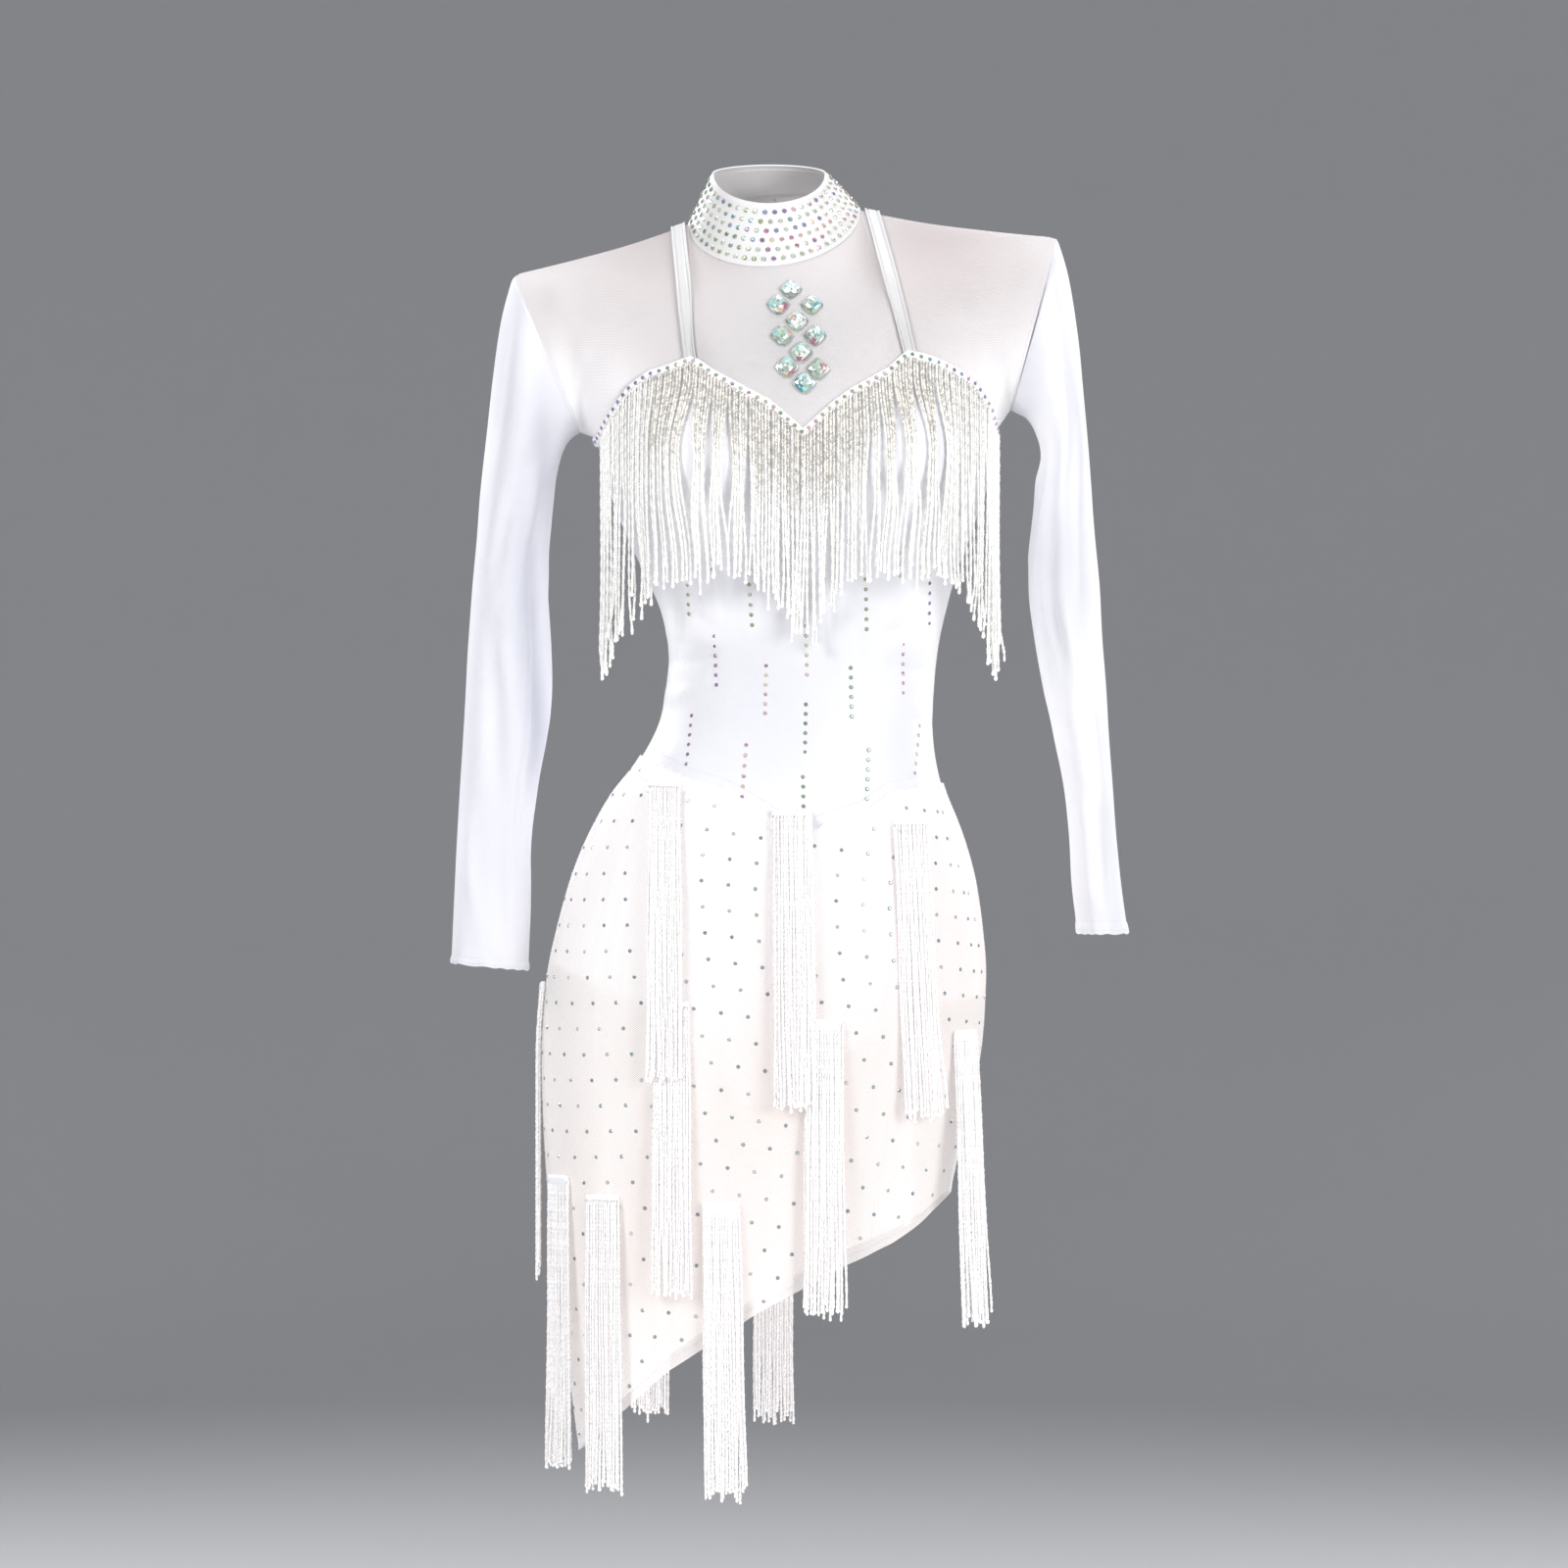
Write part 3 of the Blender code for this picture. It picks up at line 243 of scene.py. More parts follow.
def yokeSkin(across, rise, front):    # rise goes from the bodice to the shoulder or collar
    across, rise = np.broadcast_arrays(np.asarray(across, float), np.asarray(rise, float))
    flat = np.abs(across)
    left, right = sleeves["left"][0], sleeves["right"][0]
    isLeft = (across > 0)[..., None]
    tip = np.where(isLeft, (left[0], 0, left[1]), (right[0], 0, right[1]))
    armpit = np.where(isLeft, (left[2], 0, left[3]), (right[2], 0, right[3]))
    share = np.clip((flat - yoke["neck"]) / (1 - yoke["neck"]), 0, 1)
    turn = np.clip(across / yoke["neck"], -1, 1) * pi / 2
    top = neckRing(turn if front else pi - turn, "foot")
    top = top + (tip - top) * share[..., None]
    top[..., 2] -= yoke["sag"] * np.sin(pi * share)
    foot = yokeEdge(across, front) + np.array((0, 0, 1))
    foot = foot + (armpit - foot) * smooth((flat - 0.86) / 0.14)[..., None]
    middleY = foot[..., 1] + (top[..., 1] - foot[..., 1]) * yokeShare(across, 0.5)
    bulge = readCurve(yoke["depth"], flat)[..., 0 if front else 1] - np.abs(middleY)
    skin = foot + (top - foot) * yokeShare(across, rise)[..., None]
    skin[..., 1] += (-bulge if front else bulge) * np.sin(pi * rise)
    return skin


def yokePoint(across, rise, front, out=0):
    inside = np.clip(rise, step, 1 - step)
    along = yokeSkin(across + step, inside, front) - yokeSkin(across - step, inside, front)
    up = yokeSkin(across, inside + step, front) - yokeSkin(across, inside - step, front)
    normal = unit(np.cross(along, up) if front else np.cross(up, along))
    return yokeSkin(across, rise, front) + normal * np.asarray(out)[..., None], normal


def yokePlace(x, level):      # where a place of the front view lies on the yoke
    across, rise = 0.1, 0.5
    for _ in range(30):       # each round goes part of the way here too
        here = yokeSkin(across, rise, True)
        wider = yokeSkin(across + step, rise, True)
        higher = yokeSkin(across, rise + step, True)
        across += 0.7 * (x - here[0]) / (wider[0] - here[0]) * step
        rise += 0.7 * (level - here[2]) / (higher[2] - here[2]) * step
    return across, rise


print("surfaces ready")


# ---- materials

def put(tree, kind, *inputs, **settings):
    # a node's outputs; inputs are pairs of a socket's name or number and a value or a socket
    made = tree.nodes.new(kind)
    for key, value in settings.items():
        setattr(made, key, value)
    for place, value in inputs:
        if isinstance(value, bpy.types.NodeSocket):
            tree.links.new(value, made.inputs[place])
        else:
            made.inputs[place].default_value = value
    return made.outputs


def maths(tree, operation, first, second):
    return put(tree, "ShaderNodeMath", (0, first), (1, second), operation=operation)[0]


def attribute(tree, name, output="Fac"):
    return put(tree, "ShaderNodeAttribute", attribute_name=name)[output]


def noise(tree, place, scale, detail=2, roughness=0.5):
    return put(tree, "ShaderNodeTexNoise", ("Vector", place), ("Scale", scale), ("Detail", detail),
               ("Roughness", roughness))["Fac"]


def multiply(tree, first, second, clamp=False):
    return put(tree, "ShaderNodeMix", (0, 1), (6, first), (7, second), data_type="RGBA",
               blend_type="MULTIPLY", clamp_result=clamp)[2]


def bumped(tree, height, strength, distance, *normal):
    return put(tree, "ShaderNodeBump", ("Height", height), ("Strength", strength),
               ("Distance", distance), *normal)["Normal"]


def ramp(tree, socket, stops, kind="LINEAR"):
    colour = put(tree, "ShaderNodeValToRGB", ("Fac", socket))["Color"]
    band = colour.node.color_ramp
    band.interpolation = kind
    while len(band.elements) < len(stops):
        band.elements.new(0.5)
    for element, (place, shade) in zip(band.elements, stops):
        element.position = place
        element.color = (*shade, 1)
    return colour


def newMaterial(name, **values):
    material = bpy.data.materials.new(name)
    material.use_nodes = True
    shader = material.node_tree.nodes["Principled BSDF"]
    for key, value in values.items():
        shader.inputs[key.replace("_", " ")].default_value = value
    return material, material.node_tree, shader.inputs


def placeOn(tree, output="Object"):
    return put(tree, "ShaderNodeTexCoord")[output]


def weaveHeight(tree, pitch, ratio, slant):
    # two crossed wave families on the cloth's own UV map, which is in metres
    turned = put(tree, "ShaderNodeMapping", ("Vector", placeOn(tree, "UV")),
                 ("Rotation", (0, 0, slant)), ("Scale", (1 / pitch, ratio / pitch, 1)))["Vector"]
    first, second = (
        put(tree, "ShaderNodeTexWave", ("Vector", turned), ("Scale", 0.3183), ("Distortion", 0.4),
            ("Detail", 1), wave_type="BANDS", bands_direction=way, wave_profile="SIN")["Fac"]
        for way in ("X", "Y"))
    return maths(tree, "MULTIPLY", first, second)


def clothMaterial(name, colour, shade, pitch, roughness, sheen, bump, weave, cover, paintedGlow, withPaintedShade):
    # its emission is painted light that brightens the cloth all over and lifts its shadows, in
    # place of light let through thin cloth; an attribute of painted light and shade tints its base
    # colour
    material, tree, inputs = newMaterial(
        name, Roughness=roughness, Sheen_Weight=sheen, Sheen_Roughness=0.35,
        Emission_Color=(*colour, 1), Emission_Strength=paintedGlow)
    place = placeOn(tree)
    woven = weaveHeight(tree, pitch, *weave)
    mixed = maths(tree, "ADD", maths(tree, "MULTIPLY", noise(tree, place, 9, 4, 0.6), 0.75),
                  maths(tree, "MULTIPLY", woven, 0.25))
    base = ramp(tree, mixed, ((0.25, shade), (0.65, colour)))
    # painted light and shade: an attribute's colour multiplies the base colour
    if withPaintedShade:
        base = multiply(tree, base, attribute(tree, "tone", "Color"), True)
    tree.links.new(base, inputs["Base Color"])
    rise = bumped(tree, woven, bump, 0.0004)
    soft = noise(tree, place, 38, 3, 0.55)
    tree.links.new(bumped(tree, soft, 0.18, 0.0016, ("Normal", rise)), inputs["Normal"])
    if cover:
        low, high = cover
        tree.links.new(ramp(tree, woven, ((0.05, (low,) * 3), (0.45, (high,) * 3))),
                       inputs["Alpha"])
    return material


knitWeave, meshWeave = (0.7, 0), (1, 0.785)    # ratio of its two pitches, its turn
clothLooks = {
    # name, colour, its shade, pitch of the weave, roughness, sheen, bump, weave, cover of a sheer
    # cloth, its glow of emission, which is painted light, and whether painted light and shade tint
    # it
    "lycra": ("whiteLycra", (0.74, 0.74, 0.775), (0.695, 0.695, 0.735), 0.0009, 0.42, 0.2, 0.35,
              knitWeave, None, 0.04, True),
    # paler than the bodice's lycra and glowing more: painted light that keeps the brief white in
    # the shade under the skirt
    "brief": ("briefLycra", (0.93, 0.93, 0.96), (0.88, 0.88, 0.92), 0.0009, 0.42, 0.2, 0.35,
              knitWeave, None, 0.1, False),
    "band": ("bandLycra", (0.77, 0.765, 0.765), (0.72, 0.715, 0.72), 0.0009, 0.42, 0.25, 0.35,
             knitWeave, None, 0, True),
    "yokeMesh": ("yokeMesh", (0.735, 0.705, 0.703), (0.69, 0.66, 0.66), 0.0011, 0.62, 0.3, 0.5,
                 meshWeave, (0.76, 0.94), 0.08, True),
    "sleeveMesh": ("sleeveMesh", (0.80, 0.80, 0.845), (0.74, 0.74, 0.795), 0.0011, 0.62, 0.3, 0.5,
                   meshWeave, None, 0, True),
    "skirtMesh": ("skirtMesh", (1, 0.968, 0.952), (0.965, 0.932, 0.914), 0.0012, 0.6, 0.4, 0.5,
                  meshWeave, (0.36, 0.66), 0.12, True),
    "trim": ("seamTrim", (0.92, 0.92, 0.94), (0.86, 0.86, 0.89), 0.0007, 0.5, 0.2, 0.4,
             meshWeave, None, 0.08, False),
}
finishes = {key: clothMaterial(*look) for key, look in clothLooks.items()}


def threadMaterial():
    material, tree, inputs = newMaterial("sewingThread", Roughness=0.5, Sheen_Weight=0.2)
    stops = (0.3, (0.58, 0.58, 0.62)), (0.7, (0.78, 0.78, 0.82))
    tree.links.new(ramp(tree, noise(tree, placeOn(tree), 900), stops), inputs["Base Color"])
    return material


def strandMaterial(name, topColour, lowColour, glitter, paintedGlow):
    # twisted glitter yarn: one attribute holds its shade (on the back tassels partly painted
    # shade), another one each strand's own tint; its emission is painted light that lifts the
    # shadows between the strands
    material, tree, inputs = newMaterial(name, Roughness=0.42, Sheen_Weight=0.5,
                                         Emission_Color=(*lowColour, 1), Emission_Strength=paintedGlow)
    shade = attribute(tree, "shade")
    base = ramp(tree, shade, ((0, lowColour), (1, topColour)))
    fleck = put(tree, "ShaderNodeTexVoronoi", ("Vector", placeOn(tree)), ("Scale", 470))["Color"]
    grey = put(tree, "ShaderNodeRGBToBW", ("Color", fleck))["Val"]
    deep = maths(tree, "ADD", maths(tree, "MULTIPLY", shade, glitter), glitter / 1.9)
    dullAndShade = maths(tree, "MULTIPLY", maths(tree, "GREATER_THAN", 0.42, grey), deep)
    faint = maths(tree, "MULTIPLY", attribute(tree, "tint"), 0.05)
    light = maths(tree, "SUBTRACT", 1, maths(tree, "ADD", dullAndShade, faint))
    mixed = put(tree, "ShaderNodeVectorMath", ("Vector", base), ("Scale", light), operation="SCALE")
    tree.links.new(mixed["Vector"], inputs["Base Color"])
    tree.links.new(bumped(tree, grey, 0.4, 0.0004), inputs["Normal"])
    return material


def stoneMaterial(name, stops, spread, metallic, roughness, dim):
    # each stone has its tint and each facet its own share of light
    material, tree, inputs = newMaterial(name, Metallic=metallic, Roughness=roughness,
                                         Coat_Weight=0.6, Coat_Roughness=0.04)
    facet = attribute(tree, "facet")
    shifted = maths(tree, "ADD", attribute(tree, "tint"), maths(tree, "MULTIPLY", facet, spread))
    colour = ramp(tree, maths(tree, "FRACT", shifted, 0), stops, "CONSTANT")
    light = ramp(tree, facet, ((0, (dim,) * 3), (0.5, (0.94,) * 3), (1, (1,) * 3)))
    tree.links.new(multiply(tree, colour, light), inputs["Base Color"])
    return material


stoneStops = (
    (0, (0.62, 0.66, 0.60)), (0.1, (0.40, 0.42, 0.22)), (0.2, (0.26, 0.36, 0.25)),
    (0.3, (0.30, 0.44, 0.42)), (0.4, (0.30, 0.34, 0.56)), (0.5, (0.30, 0.23, 0.36)),
    (0.6, (0.48, 0.25, 0.36)), (0.7, (0.68, 0.46, 0.56)), (0.8, (0.74, 0.64, 0.44)),
    (0.9, (0.54, 0.66, 0.50)))
mistStops = (
    (0, (0.62, 0.64, 0.64)), (0.2, (0.34, 0.37, 0.38)), (0.4, (0.28, 0.34, 0.42)),
    (0.6, (0.38, 0.46, 0.38)), (0.8, (0.26, 0.38, 0.42)))
crystalStops = (
    (0, (0.84, 0.89, 0.88)), (0.14, (0.40, 0.68, 0.66)), (0.28, (0.44, 0.55, 0.43)),
    (0.42, (0.31, 0.35, 0.33)), (0.56, (0.66, 0.49, 0.38)), (0.66, (0.44, 0.20, 0.25)),
    (0.76, (0.60, 0.64, 0.64)), (0.88, (0.11, 0.32, 0.41)))
finishes.update({
    "thread": threadMaterial(),
    # the last number of each yarn is its glow of emission, painted light
    "fringe": strandMaterial("glitterFringe", (0.785, 0.745, 0.67), (1, 0.995, 0.965), 0.3, 0.18),
    "tassel": strandMaterial("tasselFringe", (0.62, 0.57, 0.59), (0.985, 0.965, 0.96), 0.1, 0.2),
    "stone": stoneMaterial("iridescentStone", stoneStops, 0.16, 0.25, 0.16, 0.6),
    "mist": stoneMaterial("paleStone", mistStops, 0.12, 0.2, 0.2, 0.7),
    "crystal": stoneMaterial("iridescentCrystal", crystalStops, 0, 0.1, 0.08, 0.72),
})
print("materials ready")


# ---- meshes

def addObject(name, mesh, *materials):
    for material in materials:
        mesh.materials.append(material)
    obj = bpy.data.objects.new(name, mesh)
    bpy.context.scene.collection.objects.link(obj)
    return obj


def setData(mesh, name, values, domain="POINT"):
    values = np.asarray(values, np.float32)
    wide = 1 if values.ndim == 1 else values.shape[1]
    kind, key = {1: ("FLOAT", "value"), 3: ("FLOAT_VECTOR", "vector"),
                 4: ("FLOAT_COLOR", "color")}[wide]
    mesh.attributes.new(name, kind, domain).data.foreach_set(key, values.ravel())


def tubeFaces(rings, sides):       # the walls between closed rings of points
    return [(low + side, low + (side + 1) % sides, low + sides + (side + 1) % sides,
             low + sides + side) for low in range(0, (rings - 1) * sides, sides)
            for side in range(sides)]


def addSolid(name, verts, faces, material, merge=0):
    mesh = bpy.data.meshes.new(name)
    mesh.from_pydata((np.asarray(verts) * mm).tolist(), [], faces)
    shape = bmesh.new()
    shape.from_mesh(mesh)
    if merge:
        bmesh.ops.remove_doubles(shape, verts=shape.verts, dist=merge)
    bmesh.ops.recalc_face_normals(shape, faces=shape.faces)
    shape.to_mesh(mesh)
    shape.free()
    mesh.shade_smooth()
    return addObject(name, mesh, material)


def lengthsAlong(line):
    return np.concatenate([[0], np.cumsum(np.linalg.norm(np.diff(line, axis=0), axis=1))])


def boxStand(label, normal):       # the middle of a node's box, and axes that face its normal
    low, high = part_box(label)
    facing = Vector(normal)
    right = Vector((0, 0, 1)).cross(facing).normalized()
    return np.array((low + high) / 2 / mm), np.array((right, facing.cross(right), facing))


def gridNormals(grid, loop, flip):
    down = np.gradient(grid, axis=0)
    if loop:
        across = (np.roll(grid, -1, 1) - np.roll(grid, 1, 1)) / 2
    else:
        across = np.gradient(grid, axis=1)
    return unit(np.cross(across, down)) * flip


outers = {}                         # each cloth piece's outer surface, for what is sewn on it
# the radius that each shoulder tip is rounded to, the play it has, how far it is drawn in
tips = {"right": 20, "left": 12, "play": 0.7, "share": 0.85}
# painted light and shade in the cloth, as soft patches: across, level, half width, half height,
# red, green, blue
# darker patches are painted shade: the sleeves' inner folds, the skirt's folds (warmer too) and the
# middle of the bodice; the yoke is also darker and warmer towards its top, and the strap and collar
# band rows darken those pieces all over.
# paler patches are painted light, mostly where shadows fall: the bodice under the bust fringe, over
# the cups and at its sides, the yoke's lower outer corners, the sleeves' outer edges and underarms.
paintedShadeTable = {
    "yoke": (
        (-95, 0, 75, 85, -0.31, -0.36, -0.365), (135, 8, 75, 85, -0.31, -0.38, -0.385),
        (-170, -175, 85, 72, 0.5, 0.53, 0.56), (208, -163, 72, 64, 0.6, 0.64, 0.67),
        (5, -100, 70, 55, -0.16, -0.15, -0.14)),
    "sleeveRight": (
        (-242, -300, 17, 170, 0.21, 0.21, 0.2), (-253, -530, 12, 90, 0.2, 0.2, 0.19),
        (-220, -330, 20, 220, -0.05, -0.05, -0.05), (-187, -190, 9, 55, -0.21, -0.21, -0.18),
        (-199, -310, 10, 90, -0.27, -0.26, -0.22), (-188, -430, 11, 80, -0.26, -0.25, -0.2),
        (-233, -180, 12, 60, 0.15, 0.15, 0.14)),
    "sleeveLeft": (
        (222, -175, 14, 50, 0.3, 0.3, 0.28), (232, -420, 14, 60, 0.1, 0.1, 0.08),
        (262, -480, 40, 140, 0.08, 0.08, 0.05), (237, -290, 14, 60, -0.1, -0.1, -0.09),
        (262, -300, 12, 80, 0.12, 0.12, 0.1)),
    "bodice": (
        (5, -400, 60, 90, -0.055, -0.055, -0.055), (-84, -335, 16, 32, 0.28, 0.28, 0.24),
        (-76, -390, 18, 70, 0.1, 0.1, 0.08), (122, -370, 16, 90, 0.12, 0.12, 0.1)),
    "bodiceFront": (
        (-68, -205, 55, 55, 0.22, 0.22, 0.2), (88, -205, 55, 55, 0.22, 0.22, 0.2),
        (-50, -322, 45, 18, 0.17, 0.17, 0.15), (124, -315, 16, 28, 0.2, 0.2, 0.17)),
    "skirt": (
        (40, -640, 125, 120, -0.05, -0.075, -0.08), (150, -540, 40, 90, -0.03, -0.07, -0.09),
        (-60, -830, 110, 110, -0.05, -0.09, -0.1), (10, -715, 110, 70, -0.03, -0.055, -0.065)),
    "strap": ((20, -80, 400, 200, -0.17, -0.175, -0.18),),
    "collarBand": ((0, 0, 200, 100, -0.02, -0.03, -0.045),),
}


def roundTips(points):             # each shoulder tip as an arc that both its edges run into
    points = points.copy()
    for side, sign in (("right", -1), ("left", 1)):
        radius = tips[side]
        corner, below = np.array([row[:2] for row in sleeves[side][:2]])
        middle, _, wide, _, _, level, tilt, _, _ = neck["foot"]
        base = (middle + sign * wide, level + sign * tilt)
        first, second = unit(base - corner), unit(below - corner)
        half = math.acos(float(first @ second)) / 2
        inward = unit(first + second)
        away = points[..., [0, 2]] - corner - inward * radius / math.sin(half)
        far = np.linalg.norm(away, axis=-1, keepdims=True)
        facing = away @ inward < -far[..., 0] * math.sin(half)
        beyond = np.maximum(far - radius - tips["play"], 0) * facing[..., None]
        points[..., [0, 2]] -= away / far * beyond * tips["share"]
    return points


# the painted light and shade at a piece's points, as a colour from the soft patches of the table
def paintedShadeTint(name, points):
    tone = np.ones(points.shape)
    for start, table in paintedShadeTable.items():
        for x, level, wide, tall, *change in table if name.startswith(start) else ():
            away = ((points[..., 0] - x) / wide) ** 2 + ((points[..., 2] - level) / tall) ** 2
            tone = tone + np.exp(-away)[..., None] * np.array(change)
    return np.concatenate([tone, np.ones((*tone.shape[:-1], 1))], -1).reshape(-1, 4)


def shellFaces(rows, columns, uv, flip, loop):
    # both sides of a shell and the rims between them, with the cloth's own map at each corner
    count = rows * columns
    wide = columns if loop else columns - 1
    tall, across = np.arange(rows - 1), np.arange(wide)
    row, column = [a.ravel() for a in np.meshgrid(tall, across, indexing="ij")]
    after = (column + 1) % columns
    corners = [(row, column, column), (row, after, column + 1), (row + 1, after, column + 1),
               (row + 1, column, column)][::flip]
    faces = [np.stack([offset + r * columns + c for r, c, _ in path], -1)
             for offset, path in ((0, corners), (count, corners[::-1]))]
    faceUv = [np.stack([uv[r, u] for r, _, u in path], 1) for path in (corners, corners[::-1])]
    rims = [(at + 0 * across, across, at + 0 * across, (across + 1) % columns, turned)
            for at, turned in ((0, False), (rows - 1, True))]
    if not loop:
        rims += [(tall, at + 0 * tall, tall + 1, at + 0 * tall, turned)
                 for at, turned in ((0, True), (columns - 1, False))]
    for r0, c0, r1, c1, turned in rims:
        a, b = (r0 * columns + c0, r1 * columns + c1)[::-1 if turned == (flip > 0) else 1]
        faces.append(np.stack([b, a, count + a, count + b], -1))
        faceUv.append(np.stack([uv[r0, c0]] * 4, 1))
    return np.concatenate(faces), np.concatenate(faceUv)


def clothShell(name, grid, inside, thick, material, relief=None, loop=False):
    # a closed thin wall about a grid of points, rows by columns, with its relief along the normals
    normals = gridNormals(grid, loop, 1)
    flip = 1 if np.mean(np.sum(normals * (grid - np.array(inside)), -1)) > 0 else -1
    if relief is not None:
        grid = grid + normals * flip * relief[..., None]
    normals = gridNormals(grid, loop, flip)
    outer, inner = grid + normals * thick / 2, grid - normals * thick / 2
    if name.startswith(("yoke", "sleeve")):
        outer, inner = roundTips(outer), roundTips(inner)
    outers[name] = outer, normals, loop
    ring = np.concatenate([grid, grid[:, :1]], 1) if loop else grid
    right = np.linalg.norm(np.diff(ring, axis=1), axis=-1)
    down = np.linalg.norm(np.diff(ring, axis=0), axis=-1)
    u = np.concatenate([0 * right[:, :1], np.cumsum(right, 1)], 1)
    if not loop:
        u = u - u[:, right.shape[1] // 2, None]
    v = -np.concatenate([0 * down[:1], np.cumsum(down, 0)], 0)
    faces, faceUv = shellFaces(*grid.shape[:2], np.stack([u, v], -1) * mm, flip, loop)
    mesh = bpy.data.meshes.new(name)
    verts = np.concatenate([outer.reshape(-1, 3), inner.reshape(-1, 3)]) * mm
    mesh.from_pydata(verts.tolist(), [], faces.tolist())
    layer = mesh.uv_layers.new(name="cloth")
    layer.data.foreach_set("uv", faceUv.reshape(-1).astype(np.float32))
    # painted light and shade, on both sides of the shell
    setData(mesh, "tone", np.tile(paintedShadeTint(name, grid), (2, 1)))
    mesh.shade_smooth()
    mesh.set_sharp_from_angle(angle=math.radians(60))
    area = np.sum(right[:-1] * down[:, :right.shape[1]])
    print(f"{name}: {len(faces) * 2} triangles, sheet area {area * mm * mm:.4f}, "
          f"wide {np.mean(np.sum(right, 1)) * mm:.3f}, long {np.max(-v) * mm:.3f}")
    return addObject(name, mesh, material)


# shares of a crease's width or length, and turns of its waves along it
crease = {"bend": 0.35, "bendTurns": 4.3, "past": 0.12, "fade": 0.32, "uneven": 0.25,
          "unevenTurns": 9}


def creases(x, level, folds):
    # ridges and troughs along short lines: x, level at both ends, half width, height
    total = np.zeros(np.broadcast(x, level).shape)
    for x0, z0, x1, z1, wide, high in folds:
        along = np.array((x1 - x0, z1 - z0), float)
        long = np.linalg.norm(along)
        along = along / long
        t = ((x - x0) * along[0] + (level - z0) * along[1]) / long
        bend = wide * crease["bend"] * np.sin(t * crease["bendTurns"] + x0)
        aside = (x - x0) * along[1] - (level - z0) * along[0] + bend
        ends = smooth((t + crease["past"]) / crease["fade"])
        ends = ends * smooth((1 + crease["past"] - t) / crease["fade"])
        uneven = 1 + crease["uneven"] * np.sin(t * crease["unevenTurns"] + z0)
        total = total + high * uneven * ends * bell(aside / wide)
    return total


def ripple(first, second, seed):    # a small soft unevenness from a few fixed waves
    random = np.random.default_rng(seed)
    total = 0
    for _ in range(7):
        a, b = random.uniform(0.012, 0.05, 2) * random.choice((-1, 1), 2)
        total = total + np.sin(first * a + second * b + random.uniform(0, anyPhase))
    return total / 7


def polylines(name, lines, **values):
    # loose lines in one mesh, with any values of their points as attributes
    links, start = [], 0
    for line in lines:
        links += [(start + at, start + at + 1) for at in range(len(line) - 1)]
        start += len(line)
    mesh = bpy.data.meshes.new(name)
    mesh.from_pydata((np.concatenate(lines) * mm).tolist(), links, [])
    for key, data in values.items():
        setData(mesh, key, data)
    return mesh


# ---- Geometry Nodes trees

def newTree(name, **inputs):       # inputs: their kind, and a value where they have one
    tree = bpy.data.node_groups.new(name, "GeometryNodeTree")
    inputs = {"Geometry": ("Geometry",), **inputs, "Material": ("Material",)}
    for label, (kind, *value) in inputs.items():
        socket = tree.interface.new_socket(label.replace("_", " "), in_out="INPUT",
                                           socket_type="NodeSocket" + kind)
        if value:
            socket.default_value = value[0]
    tree.interface.new_socket("Geometry", in_out="OUTPUT", socket_type="NodeSocketGeometry")
    return tree, tree.nodes.new("NodeGroupInput").outputs


def ending(tree, geometry, material):
    real = put(tree, "GeometryNodeRealizeInstances", ("Geometry", geometry))[0]
    made = put(tree, "GeometryNodeSetMaterial", ("Geometry", real), ("Material", material))[0]
    put(tree, "NodeGroupOutput", (0, made))
    return tree


def evenPoints(tree, get, spacing):
    curve = put(tree, "GeometryNodeMeshToCurve", (0, get["Geometry"]))[0]
    return put(tree, "GeometryNodeResampleCurve", (0, curve), (3, spacing), mode="LENGTH")[0]


def alongZ(tree, vector):
    return put(tree, "FunctionNodeAlignRotationToVector", ("Vector", vector), axis="Z")[0]


def makeStrandTree():
    tree, get = newTree("hangingStrands", Strand_width=("Float", 0.0018), Flatness=("Float", 0.62),
                        Twist=("Float", 900), Segment=("Float", 0.0018),
                        Knot_size=("Float", 0.0012), Seed=("Int", 3))
    even = evenPoints(tree, get, get["Segment"])
    length = put(tree, "GeometryNodeSplineParameter")["Length"]
    turn = maths(tree, "MULTIPLY", length, get["Twist"])
    twisted = put(tree, "GeometryNodeSetCurveTilt", (0, even), ("Tilt", turn))[0]
    half = maths(tree, "MULTIPLY", get["Strand width"], 0.5)
    circle = put(tree, "GeometryNodeCurvePrimitiveCircle", ("Resolution", 4), ("Radius", half))[0]
    size = put(tree, "ShaderNodeCombineXYZ", (0, 1), (1, get["Flatness"]), (2, 1))[0]
    flat = put(tree, "GeometryNodeTransform", (0, circle), ("Scale", size))[0]
    body = put(tree, "GeometryNodeCurveToMesh", ("Curve", twisted), ("Profile Curve", flat),
               ("Fill Caps", True))[0]
    ends = put(tree, "GeometryNodeCurveEndpointSelection", ("Start Size", 0), ("End Size", 1))[0]
    knot = put(tree, "GeometryNodeMeshIcoSphere", ("Radius", get["Knot size"]),
               ("Subdivisions", 1))[0]
    size = put(tree, "FunctionNodeRandomValue", (0, (0.7, 0.7, 0.8)), (1, (1.1, 1.1, 1.6)),
               ("Seed", get["Seed"]), data_type="FLOAT_VECTOR")[0]
    knots = put(tree, "GeometryNodeInstanceOnPoints", ("Points", twisted), ("Selection", ends),
                ("Instance", knot), ("Scale", size))[0]
    both = put(tree, "GeometryNodeJoinGeometry", (0, body), (0, knots))[0]
    return ending(tree, both, get["Material"])


